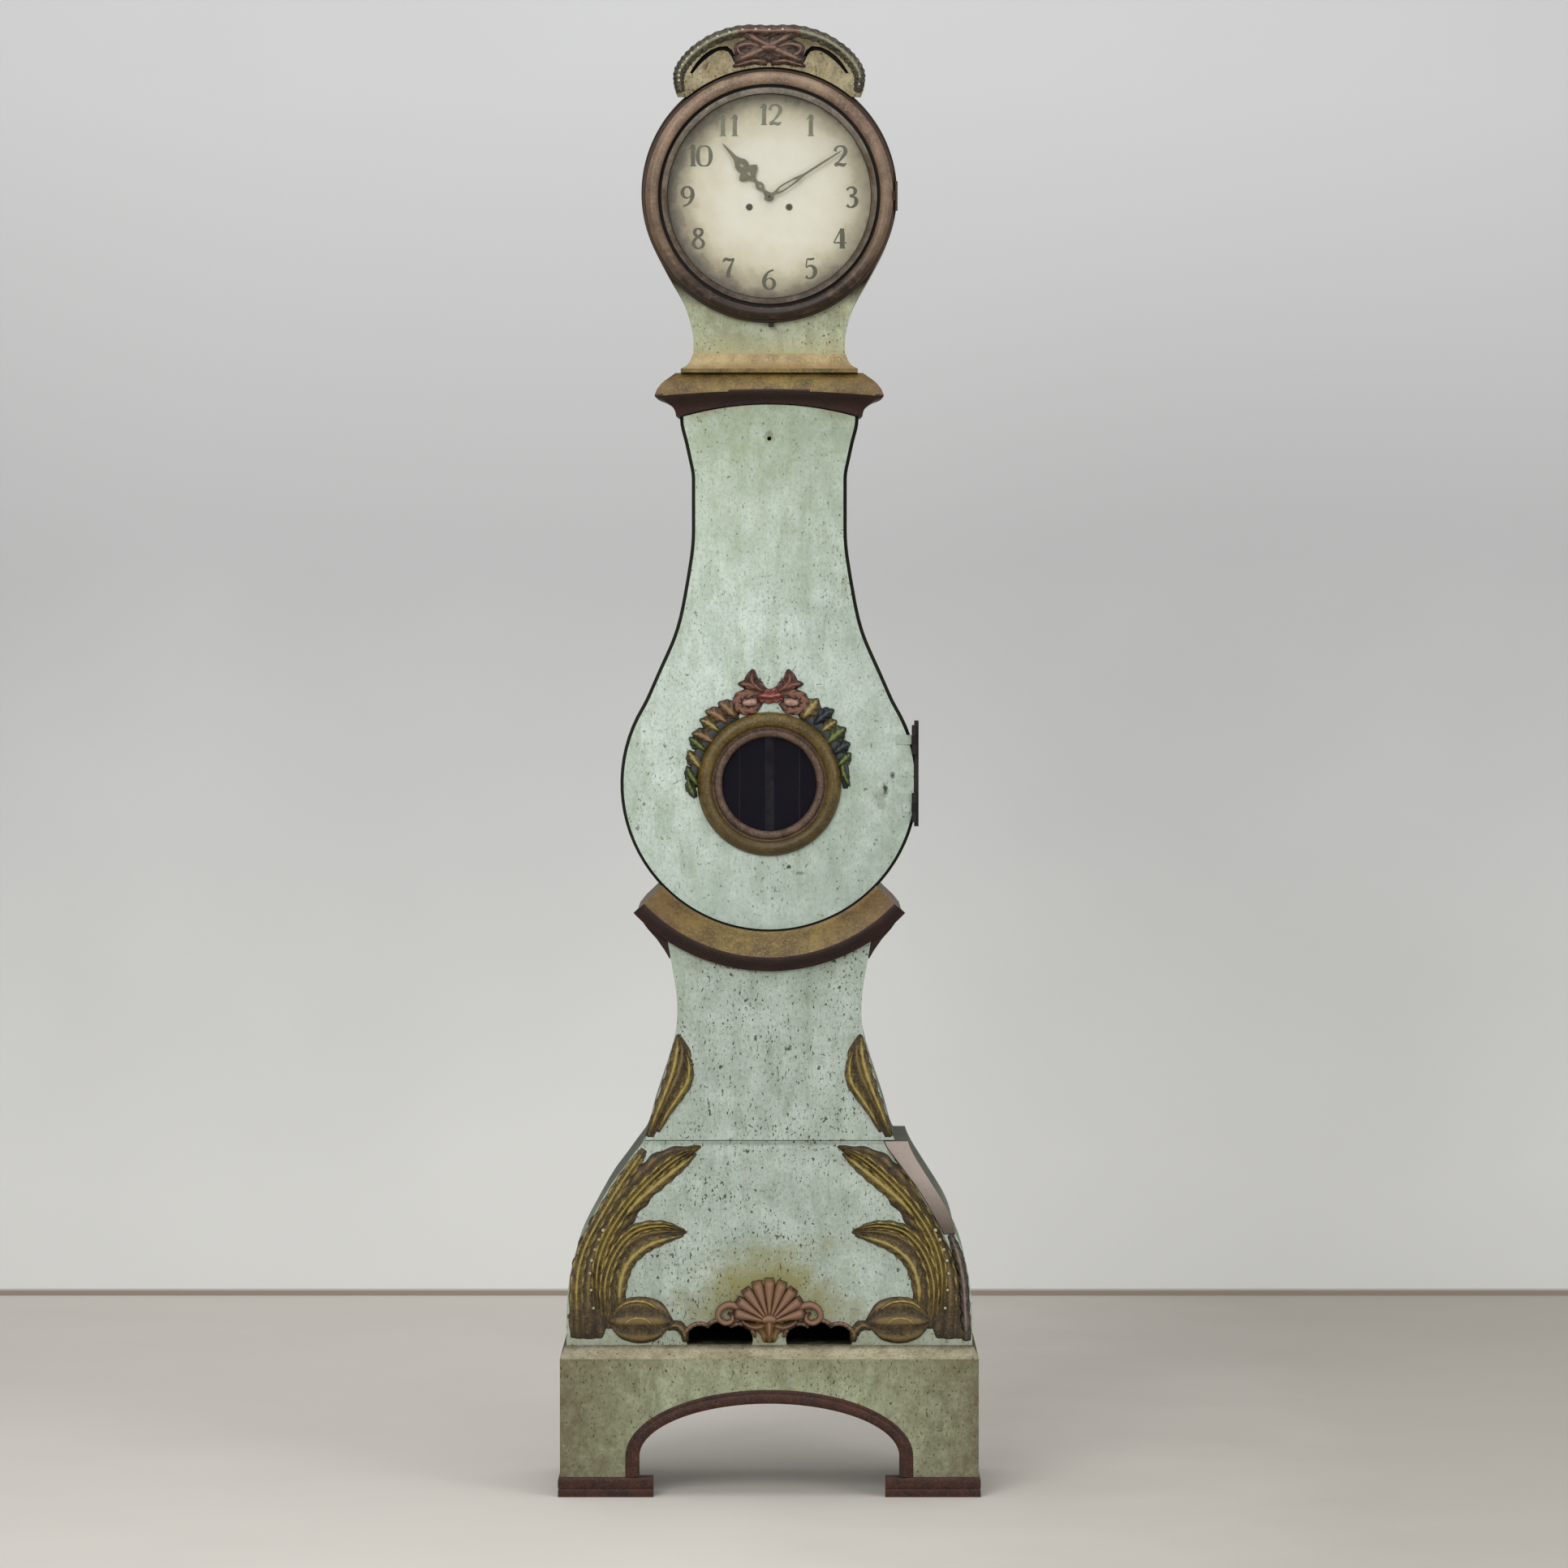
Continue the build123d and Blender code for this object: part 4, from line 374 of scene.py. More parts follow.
# %% [markdown]
# ## Bare pine, iron, brass, steel, gut and glass
# Behind the paint the boards are bare pine, gone brown. The hinges, lock and weights are iron, and
# the movement is brass with steel arbors. Old glass is slightly green and not quite flat.

# %% Bare pine
def bare_pine(name, inner=None):
    """Old unpainted pine, browned by age, with upright grain. In front of inner it is black, painted shade
    for the inside of the case.
    """
    material, tree, shader, place = new_finish(name)
    grain = cloud(tree, stretched(tree, place, (1, 1, 0.05)), 5.0, 4.0, 0.6)
    coat = mixed(tree, spread(tree, grain, 0.35, 0.68), "#6b4f33", "#3f2c1b")
    if inner is not None:
        depth = add(tree, "ShaderNodeSeparateXYZ", {0: place}).outputs["Y"]
        coat = mixed(tree, spread(tree, depth, inner + 0.001, inner), coat, "#0b0a0a")
    coated(tree, shader, coat, 0.85)
    relief(tree, shader, grain, 0.3)
    return material


pine = bare_pine("bare_old_pine")
pine_back = bare_pine("bare_old_pine_back", REAR * MM + 0.001)

# %% Metals
def old_metal(name, main, dull, rough, blotch, metallic=1.0, dark=0.4, fades=()):
    """A metal with patches where it has gone dull."""
    material, tree, shader, place = new_finish(name)
    blots = cloud(tree, place, blotch, 6.0, 0.65)
    coat = mixed(tree, spread(tree, blots, 0.5 - dark * 0.3, 0.72), main, dull)
    coat = faded(tree, place, coat, fades, 3.0)
    tree.links.new(coat, shader.inputs["Base Color"])
    tree.links.new(spread(tree, blots, 0.3, 0.7, rough - 0.1, rough + 0.15), shader.inputs["Roughness"])
    shader.inputs["Metallic"].default_value = metallic
    relief(tree, shader, blots, 0.06)
    return material


brass = old_metal("aged_brass", "#b8924c", "#7a6235", 0.38, 24)
# The drums' front ends, seen through the winding holes, go near black: painted shade.
drum_brass = old_metal("aged_drum_brass_shaded_front", "#b8924c", "#7a6235", 0.45, 24, 0.8,
                       fades=[("Y", -0.070, -0.072, 3.0, "#0c0b0a")])
steel = old_metal("worn_steel", "#8d8c88", "#5f5d58", 0.42, 18)
iron = old_metal("black_forged_iron", "#1f1d1b", "#2e261f", 0.6, 12, 0.6)
lead = old_metal("dark_cast_iron", "#3a3835", "#4d4238", 0.65, 16, 0.7)
blued = old_metal("blackened_iron_hands", "#4b4429", "#655c3a", 0.55, 10, 0.2)
gut = oil_colour("gut_line", "#6e5a3a", "#a18b60", "#c2b083", gloss=0.5, blotch=8)

# %% Glass
def old_glass(name, tint, clear, dull, shine):
    """Old window glass, faintly wavy. clear is the share of light that goes straight through."""
    material, tree, shader, place = new_finish(name)
    shader.inputs["Base Color"].default_value = colour(tint)
    shader.inputs["Roughness"].default_value = dull
    shader.inputs["Specular IOR Level"].default_value = shine
    shader.inputs["IOR"].default_value = 1.5
    shader.inputs["Alpha"].default_value = 1.0 - clear
    relief(tree, shader, cloud(tree, place, 70.0, 1.0, 0.4), 0.3)
    return material


dial_glass = old_glass("clean_dial_glass", "#b9bdb4", 0.94, 0.06, 0.5)
# The window glass is tinted near black: painted shade for the dark inside of the case.
window_glass = old_glass("window_glass_darkened_as_shade", "#17151f", 0.55, 0.35, 0.15)

# %% [markdown]
# ## Painted dial
# The dial is sheet iron in cream oil paint. It is brown round the rim, where damp and handling
# reach it, and clean in the middle, so the colour goes by the distance from the centre. Its darkest
# ring, next to the bezel, is painted shade as well as stain.

# %% Dial paint
def dial_paint():
    """Cream paint with a brown rim and fine stains; the darkest ring, next to the bezel, is also painted
    shade.
    """
    material, tree, shader, place = new_finish("cream_dial_paint")
    flat = stretched(tree, place, (1, 0, 1), (-0.008, 0, -DIAL * MM - 0.006))
    away = add(tree, "ShaderNodeVectorMath", {0: flat}, operation="LENGTH").outputs["Value"]
    stains = cloud(tree, place, 34.0, 6.0, 0.65)
    speck = cloud(tree, place, 2.5, 3.0, 0.6, 5)
    uneven = times(tree, away, spread(tree, stains, 0.3, 0.7, -0.010, 0.010), "ADD")
    coat = mixed(tree, spread(tree, stains, 0.4, 0.7, 0, 0.5), "#d2cfbf", "#c9c3aa")
    coat = mixed(tree, spread(tree, uneven, 0.070, 0.125, 0, 0.75), coat, "#b6ac87")
    coat = mixed(tree, spread(tree, uneven, 0.108, 0.140, 0, 0.85), coat, "#7b6d50")
    # The darkest ring, next to the bezel: partly stain and partly painted shade.
    coat = mixed(tree, spread(tree, uneven, 0.134, 0.152, 0, 0.90), coat, "#3a2c1b")
    coat = mixed(tree, spread(tree, speck, 0.62, 0.72, 0, 0.35), coat, "#a1936f")
    coated(tree, shader, coat, 0.55)
    relief(tree, shader, stains, 0.1)
    return material


cream = dial_paint()
numeral_paint = oil_colour("black_numeral_paint", "#2b271a", "#3f3a27", "#66624a", gloss=0.6, blotch=6,
                           age=3, fades=[("Z", 1.89, 1.97, 0.85, "#7f816a")])

# %% [markdown]
# ## Dress the solid parts
# Boards, doors, wheels and plates already have their right shapes, so they only need a finish.

# %% A finish for each solid part
# Places are pairs in metres. A tint starts at the first and is full at the second.
RIM_SHADE = (1.700, 1.735)          # height on the hood's front board
SHELL_EDGE = (-0.083, -0.086)       # depth of the shell's front edge
SIDE_EDGE = (-0.0825, -0.0835)      # depth of the side boards' front edge
STRIP_EDGE = (-0.1005, -0.1015)     # depth of the side board that shows beside the base's front
STRIP_SHADE = (0.455, 0.380)        # height on that strip
SLOPE_LOW, SLOPE_HIGH = (0.335, 0.440), (0.640, 0.505)      # heights on the slope of the base
CRESCENT_X, CRESCENT_Z = (0.0455, 0.1145), (2.0285, 2.0705)
CRESCENT_DEPTH = (-0.1150, -0.1045)
KNUCKLE = (0.2025, 0.2035)          # where the flaps end and the knuckles of the hinge start
DOOR_GAP_SHADOW = (0.2132, 0.2124)       # distance from the belly's centre


def hood_paint():
    """The hood's front board: dark brown painted shade in the narrow rim that shows round the bezel."""
    return laid_over(paint_neck, "#33281d", lambda tree, parts: spread(tree, parts["Z"], *RIM_SHADE))


def shell_paint():
    """The hood's bent shell: paint like the sides of the case, browner on top, with a dark band of painted
    shade along its front edge.
    """
    material = distemper("distemper_hood_shell", "#a4ab98", "#8d9480", "#6c7360", "#5f5640", 0.6, 0.3,
                         [("Z", 1.665, 1.61, 0.8, "#8f8460"), ("Z", 1.93, 2.04, 0.7, "#6b6450")], (), 141)
    return laid_over(material, "#2b2219", lambda tree, parts: spread(tree, parts["Y"], *SHELL_EDGE))


def side_paint():
    """The side boards: dirty paint, a black line along their front edge that is partly grime and partly
    painted shade, and painted shade on the base's slope.
    """
    material = distemper("distemper_sides", "#a4b0a1", "#8e9b8a", "#6c7866", "#5f5b42", 0.8, 0.25,
                         [("Z", 0.40, 0.215, 0.6, "#6a6448")], (), 83)
    laid_over(material, "#1d1c14", lambda tree, parts: spread(tree, parts["Y"], *SIDE_EDGE))
    laid_over(material, "#45463a", lambda tree, parts: times(
        tree, spread(tree, parts["Z"], *SLOPE_LOW, 0.0, 0.85), spread(tree, parts["Z"], *SLOPE_HIGH)))
    laid_over(material, "#a0938a", lambda tree, parts: spread(tree, parts["Y"], *STRIP_EDGE))
    return laid_over(material, "#5b5147", lambda tree, parts: times(
        tree, spread(tree, parts["Y"], *STRIP_EDGE), spread(tree, parts["Z"], *STRIP_SHADE)))


def crest_paint():
    """The crest's board: its two crescents are cut deep and painted black inside as painted shadow."""
    def share_of(tree, parts):
        wide = times(tree, parts["X"], 0.0, "ABSOLUTE")
        inside = times(tree, between(tree, wide, *CRESCENT_X), between(tree, parts["Z"], *CRESCENT_Z))
        return times(tree, inside, between(tree, parts["Y"], *CRESCENT_DEPTH))
    return laid_over(paint_crest, "#070605", share_of)


def flap_paint():
    """The trunk door's hinge: iron knuckles, with flaps that were painted over with the door."""
    material = distemper("distemper_hinge_flaps", "#a5b1a6", "#96a397", "#7b8878", "#8b9272", 0.2, 0.2, (),
                         (), 301)
    return laid_over(material, "#171614", lambda tree, parts: spread(tree, parts["X"], *KNUCKLE))


def base_paint():
    """The base: black as painted shadow in the gap under the round door."""
    def share_of(tree, parts):
        high = times(tree, parts["Z"], BELLY * MM, "SUBTRACT")
        away = times(tree, times(tree, parts["X"], 2.0, "POWER"), times(tree, high, 2.0, "POWER"), "ADD")
        return spread(tree, times(tree, away, 0.5, "POWER"), *DOOR_GAP_SHADOW)
    return laid_over(paint_base, "#11100b", share_of)


FINISHES = (
    (paint_plinth, "plinth_front plinth_boards"), (paint_cap, "plinth_top"),
    (base_paint(), "base_front_lower"),
    (paint_base, "base_front_upper"), (side_paint(), "case_sides"), (pine, "trunk_top seat_board"),
    (pine_back, "back_boards"), (iron, "hinge_stile trunk_hinge_fixed door_lock hood_pull"),
    (flap_paint(), "trunk_hinge_moving"), (paint_door, "trunk_door"), (window_glass, "window_glass"),
    (dial_glass, "hood_glass"), (hood_paint(), "hood_front"), (shell_paint(), "hood_shell"),
    (crest_paint(), "crest_board"), (bezel_rim, "hood_hinge_fixed hood_hinge_moving"), (cream, "dial"),
    (blued, "minute_hand hour_hand"), (drum_brass, "time_drum strike_drum centre_arbor"),
    (brass, "movement_frame movement_brackets bells time_great_wheel strike_great_wheel third_wheel "
            "escape_wheel minute_wheel hour_wheel pin_wheel strike_third_wheel fly pendulum_bob"),
    (steel, "lock_bolt hammer anchor_crutch pendulum_rod"), (lead, "weight_time weight_strike"),
)
for finish, names in FINISHES:
    for node_name in names.split():
        part = nodes[node_name]
        part.data.materials.clear()
        part.data.materials.append(finish)
print(sum(len(names.split()) for _, names in FINISHES), "solid parts have their finish")

# %% [markdown]
# ## Helpers for shapes
# A turned moulding is a profile spun round an axis, as on a lathe. A straight or bent moulding is
# the same profile carried along a line, ring after ring, with faces bridged between the rings.
# A carved leaf is a flat grid laid along the leaf's spine and pushed up into ridges.

# %% Curves, rings and lofts
def curve_through(points, steps=6):
    """Points along a smooth curve through the given ones, ends included."""
    rows = [Vector(p) for p in points]
    rows = [2 * rows[0] - rows[1]] + rows + [2 * rows[-1] - rows[-2]]
    out = []
    for a, b, c, d in zip(rows, rows[1:], rows[2:], rows[3:]):
        for i in range(steps):
            t = i / steps
            out.append(0.5 * (2 * b + (c - a) * t + (2 * a - 5 * b + 4 * c - d) * t * t
                              + (3 * b - a - 3 * c + d) * t ** 3))
    return out + [rows[-2]]


def smooth(points, steps=4):
    """The same in a plane: (x, y) points along a smooth curve through the given ones."""
    return [(v.x, v.y) for v in curve_through([(a, b, 0) for a, b in points], steps)]


def ring_of(bm, points):
    """A closed ring of edges through the points."""
    verts = [bm.verts.new(p) for p in points]
    edges = [bm.edges.new((verts[i - 1], verts[i])) for i in range(len(verts))]
    return verts, edges


def loft(bm, rings):
    """Skin a row of rings and close its two ends."""
    rows = [ring_of(bm, points) for points in rings]
    for (_, first), (_, second) in zip(rows, rows[1:]):
        bmesh.ops.bridge_loops(bm, edges=first + second)
    bm.faces.new(rows[0][0])
    bm.faces.new(rows[-1][0])


def wrapped(bm, section_at, half, depths, steps):
    """Carry a moulding back along one side, round the front and back along the other, with mitred corners.

    section_at(x) gives its (proud, height) points at x from the middle. half is half the width of
    what it runs round, depths are the places of its rings on a side and steps those of half the front.
    """
    end = section_at(half)
    rings = [[(-half - p, y, z) for p, z in end] for y in depths]
    for i in range(-steps, steps + 1):
        s = i / steps
        rings.append([(s * (half + p), FACE - p, z) for p, z in section_at(abs(s) * half)])
    rings += [[(half + p, y, z) for p, z in end] for y in reversed(depths)]
    loft(bm, rings)


def turned(bm, profile, x, z, start=0.0, sweep=360.0, steps=144):
    """Turn a closed (radius, depth) profile about an axis along Y through (x, z)."""
    a = radians(start)
    verts, edges = ring_of(bm, [(x + r * cos(a), y, z + r * sin(a)) for r, y in profile])
    full = sweep == 360.0
    spun = bmesh.ops.spin(bm, geom=verts + edges, cent=(x, 0, z), axis=(0, -1, 0), angle=radians(sweep),
                          steps=steps, use_merge=full)
    if not full:
        bm.faces.new(verts)
        last = [e for e in spun["geom_last"] if isinstance(e, bmesh.types.BMEdge)]
        bmesh.ops.contextual_create(bm, geom=last)


def finish_piece(bm, name, body, finishes, replaces=(), pick=None, sharp=35.0):
    """Turn a bmesh in millimetres into a finished piece that rides on a body of the clock.

    pick(centre), with the face's centre in millimetres, gives the number of its finish.
    """
    bmesh.ops.remove_doubles(bm, verts=bm.verts, dist=0.005)
    bmesh.ops.recalc_face_normals(bm, faces=bm.faces)
    for face in bm.faces:
        face.smooth = True
        if pick:
            face.material_index = pick(face.calc_center_median())
    for edge in bm.edges:
        edge.smooth = not edge.is_manifold or edge.calc_face_angle(0.0) < radians(sharp)
    bmesh.ops.scale(bm, vec=(MM, MM, MM), verts=bm.verts)
    mesh = bpy.data.meshes.new(name)
    open_edges = sum(not e.is_manifold for e in bm.edges)
    bm.to_mesh(mesh)
    bm.free()
    for finish in finishes:
        mesh.materials.append(finish)
    piece = bpy.data.objects.new(name, mesh)
    scene.collection.objects.link(piece)
    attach(piece, body)
    if replaces:
        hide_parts(*replaces)
    print(name, len(mesh.polygons), "faces,", open_edges, "open edges")
    return piece


# %% [markdown]
# ## Cornice
# The cornice is a moulding planed from one board: a rounded top member in bronze paint over a
# cove painted dark brown as shade. Its top is level, but its lower edge follows the arched head of the
# trunk door, so the profile stretches towards the middle. The profile is carried round the front and
# both sides, with mitres at the corners.

# %% Cornice
SHOULDER = 127.6         # half the width of the trunk under the cornice
CORNICE_TOP = 1606.0
CORNICE_PROUD = 35.0
ARCH_RADIUS = 448.0      # of the cornice's lower edge
ARCH_CROWN = 1562.5
NOSE_CROWN = 1580.0
NOSE_RADIUS = 1003.0


def cornice_profile(x):
    """(proud, height) points of the cornice's section at a distance from the middle."""
    low = ARCH_CROWN - ARCH_RADIUS + sqrt(ARCH_RADIUS ** 2 - x * x)
    nose = NOSE_CROWN - x * x / (2 * NOSE_RADIUS)
    cove = nose - low
    cap = CORNICE_TOP - nose
    p = CORNICE_PROUD
    hollow = smooth([(5, low), (7, low + 0.3 * cove), (12, low + 0.55 * cove), (21, low + 0.78 * cove),
                     (p - 3.5, nose - 2)], 3)
    round_over = smooth([(p, nose + 2.5), (p - 4, nose + 0.34 * cap), (p - 12, nose + 0.62 * cap),
                         (p - 22, nose + 0.84 * cap), (6, CORNICE_TOP - 0.2)], 3)
    return [(0, low)] + hollow + [(p, nose)] + round_over + [(0, CORNICE_TOP)]


def cornice_pick(centre):
    """Bronze over the nose, dark brown painted shade under it."""
    x = min(abs(centre.x), SHOULDER)
    return 0 if centre.z > NOSE_CROWN - x * x / (2 * NOSE_RADIUS) + 2.0 else 1


bm = bmesh.new()
wrapped(bm, cornice_profile, SHOULDER, (REAR, 60.0, -20.0, -80.0), 14)
finish_piece(bm, "carved_cornice", "case", [bronze, brown], ["cornice"], cornice_pick)

# %% [markdown]
# ## Lower moulding
# The trunk door's round lower edge rests over a curved moulding. On the real clock it is turned
# from a ring and cut to an arc, so it is made by spinning its profile about the belly's centre.
# Two wings carry it back along the sides of the case.

# %% Lower moulding
MOULDING_END = 43.5      # degrees under the level where the arc stops
NOSE_EDGE = 247.0        # radius where the bronze nose meets the dark cove
WING_EDGE = 838.0        # height where a wing's bronze top meets its dark cove
bm = bmesh.new()
inner_round = smooth([(211.2, FACE - 8), (215.5, FACE - 10.2), (221.5, FACE - 18), (232.5, FACE - 26.8),
                      (241, FACE - 31.5), (246, FACE - 33.8)])
outer_cove = smooth([(250, FACE - 33.8), (252.2, FACE - 29), (255, FACE - 20), (261, FACE - 11),
                     (267.8, FACE - 6)])
profile = [(211.2, FACE)] + inner_round + outer_cove + [(267.8, FACE)]
turned(bm, profile, 0, BELLY, start=180 + MOULDING_END, sweep=180 - 2 * MOULDING_END, steps=72)
wing = [(151.6, 869.5), (154.8, 872.7), (180.6, 848.2), (189.4, 837.2), (184.0, 826.0), (174.0, 812.0),
        (160.7, 797.0), (149.6, 781.0), (142.6, 769.0), (141.9, 769.5), (148.1, 810.0)]
for side in (-1, 1):
    loft(bm, [[(side * x, y, z) for x, z in wing] for y in (FACE, 20.0, REAR)])


def moulding_pick(centre):
    """Bronze on the nose and on top of the wings, dark brown painted shade under them."""
    away = hypot(centre.x, centre.z - BELLY)
    if centre.y < FACE - 0.5:
        return 0 if away < NOSE_EDGE else 1
    return 0 if centre.z > WING_EDGE else 1


finish_piece(bm, "curved_lower_moulding", "case", [bronze, brown], ["lower_moulding"],
             moulding_pick)

# %% [markdown]
# ## Bezel and window ring
# Both rings are turned wood, so each is one closed profile spun right round. The bezel is the
# hood's door: a small flat on its right edge carries its hinge.

# %% Bezel
BEZEL_FLAT = 176.5
LIP_RADIUS = 145.6
GROOVE = (153.6, 157.6)      # between the cove beside the glass and the outer round
RIM_RADIUS = 176.4
bm = bmesh.new()
back = FACE - 0.6
front = back - 23.0
cove = smooth([(144.5, back - 7), (146.5, back - 10.4), (150, back - 12.8), (153.3, back - 13.8)])
torus = smooth([(157.8, back - 15), (158.6, back - 18.6), (160.8, back - 21.4), (164.0, front + 0.1),
                (168.5, front + 0.1), (172.3, back - 20.3), (175.2, back - 16.4), (176.2, back - 12.2)])
rim = smooth([(177.4, back - 11.0), (178.8, back - 10.6), (179.9, back - 9.4), (180.3, back - 6)])
profile = [(150.0, back), (150.0, back - 3.6), (144.5, back - 3.6)] + cove
profile += [(154.1, back - 9.2), (157.2, back - 9.2)] + torus + rim + [(180.3, back)]
turned(bm, profile, 0, DIAL, steps=180)
cut = bmesh.ops.bisect_plane(bm, geom=bm.verts[:] + bm.edges[:] + bm.faces[:], plane_co=(BEZEL_FLAT, 0, 0),
                             plane_no=(1, 0, 0), clear_outer=True)
bmesh.ops.holes_fill(bm, edges=[e for e in cut["geom_cut"] if isinstance(e, bmesh.types.BMEdge)])


def bezel_pick(centre):
    """A russet rim, a brown round, a black groove, and a grey cove with a black lip beside the glass; the
    black of the groove and the lip is painted shadow.
    """
    away = hypot(centre.x, centre.z - DIAL)
    if away > RIM_RADIUS:
        return 1
    if away > GROOVE[1]:
        return 0
    return 3 if away > GROOVE[0] or away < LIP_RADIUS else 2


finish_piece(bm, "turned_bezel", "hood_door", [bezel_brown, bezel_rim, bezel_cove, groove_shadow_black],
             ["hood_bezel"], bezel_pick)

# %% Window ring
bm = bmesh.new()
RING_GROOVE = 80.6       # radius of the groove between the bead and the roll
inner_bead = smooth([(67.5, DOOR_FACE - 3.5), (69.5, DOOR_FACE - 7), (72.5, DOOR_FACE - 8.4),
                     (76.5, DOOR_FACE - 7.8), (79.6, DOOR_FACE - 4.2)])
roll = smooth([(81.6, DOOR_FACE - 4.4), (84.0, DOOR_FACE - 10), (88.0, DOOR_FACE - 13.2),
               (92.0, DOOR_FACE - 13.9), (96.6, DOOR_FACE - 12.2), (100.4, DOOR_FACE - 8),
               (102.9, DOOR_FACE - 2.8)])
profile = [(67.5, DOOR_FACE + 3)] + inner_bead + roll
profile += [(102.9, DOOR_FACE), (73.7, DOOR_FACE), (73.7, DOOR_FACE + 3)]
turned(bm, profile, 0, BELLY, steps=144)


def ring_pick(centre):
    """Gold outside the groove, brown inside it."""
    return 0 if hypot(centre.x, centre.z - BELLY) > RING_GROOVE else 1


finish_piece(bm, "turned_window_ring", "trunk_door", [ring_gold, ring_bead], ["window_ring"],
             ring_pick)

# %% [markdown]
# ## Foot moulding of the hood
# A small flared board covers the joint between the hood and the cornice. It is a cove, carried round
# the front and the sides like the cornice.

# %% Foot moulding of the hood
NECK = 108.0             # half the width of the hood's neck
FOOT_LOW = 1606.3
cove = smooth([(18, FOOT_LOW + 5.5), (10.5, FOOT_LOW + 9.5), (5.5, FOOT_LOW + 15.5), (2.5, FOOT_LOW + 22),
               (1.0, FOOT_LOW + 26.5)])
profile = [(0, FOOT_LOW), (18, FOOT_LOW)] + cove + [(0, FOOT_LOW + 26.5)]
bm = bmesh.new()
wrapped(bm, lambda x: profile, NECK, (REAR - 1, 40.0, -50.0), 8)


def foot_pick(centre):
    """The lowest strip is dark."""
    return 1 if centre.z < FOOT_LOW + 5.4 else 0


finish_piece(bm, "hood_foot_cove", "hood", [tan, bronze], ["hood_foot_moulding"], foot_pick)

# %% [markdown]
# ## Bead and foot bands of the plinth
# A rounded bead follows the arch between the feet, and a ridged band wraps each foot.

# %% Bead round the arch, and the foot bands
ARCH_HALF = 186.0
ARCH_SPRING = 58.0
ARCH_RISE = 76.0
BEAD_WIDE = 20.0
BAND_TOP = 28.8
BAND_START = 166.0       # from the middle to the inner end of a band
TOE = 20.0               # side of the block that ends a band under the arch
PLINTH_FACE = -137.0
PLINTH_HALF = 299.5
bm = bmesh.new()
across = [(0.0, 0.0), (0.04, 1.7), (0.12, 2.6), (0.25, 3.0), (0.45, 2.9), (0.62, 2.2), (0.70, 1.3),
          (0.78, 1.5), (0.9, 1.5), (0.98, 0.9), (1.0, 0.0)]
path = [(1.0, 0.0, 29.0), (1.0, 0.0, 44.0)]
path += [(cos(radians(a)), sin(radians(a)), ARCH_SPRING) for a in range(0, 181, 4)]
path += [(-1.0, 0.0, 44.0), (-1.0, 0.0, 29.0)]
loft(bm, [[(c * (ARCH_HALF + w * BEAD_WIDE), PLINTH_FACE - h, level + s * (ARCH_RISE + w * BEAD_WIDE))
           for w, h in across] for c, s, level in path])
band = smooth([(2.9, 0), (2.9, 9), (2.0, 11.5), (2.9, 14), (2.9, 24), (1.4, 28)], 3)
section = [(0, 0)] + band + [(0, BAND_TOP)]
for side in (-1, 1):
    rings = [[(side * x, PLINTH_FACE - p, z) for p, z in section] for x in (BAND_START, 230.0)]
    rings.append([(side * (PLINTH_HALF + p), PLINTH_FACE - p, z) for p, z in section])
    rings += [[(side * (PLINTH_HALF + p), y, z) for p, z in section] for y in (-60.0, 40.0, 140.0)]
    loft(bm, rings)
    toe = bmesh.ops.create_cube(bm, size=1.0)["verts"]
    bmesh.ops.scale(bm, vec=(TOE, TOE, BAND_TOP), verts=toe)
    bmesh.ops.translate(bm, vec=(side * (BAND_START + TOE / 2), PLINTH_FACE + TOE / 2, BAND_TOP / 2),
                        verts=toe)
    edges = [e for e in bm.edges if e.verts[0] in toe and e.verts[1] in toe]
    bmesh.ops.bevel(bm, geom=edges, offset=0.6, segments=2, profile=0.5, affect="EDGES", material=-1)
finish_piece(bm, "plinth_bead_and_bands", "case", [trim_brown], ["plinth_trim"])

# %% [markdown]
# ## Carving
# Each leaf is cut as a few long lobes that grow out of one stem. A lobe is a flat grid whose long
# side follows the lobe's spine. Its height is rounded across and grooved along, like the cut of a
# gouge, and the same number is kept as the lobe's depth for the finish to read.

# %% One carved lobe
SUNK = 0.4               # how far the edge of a lobe lies in the board
ROOT = 0.6               # how far its closed underside lies in the board


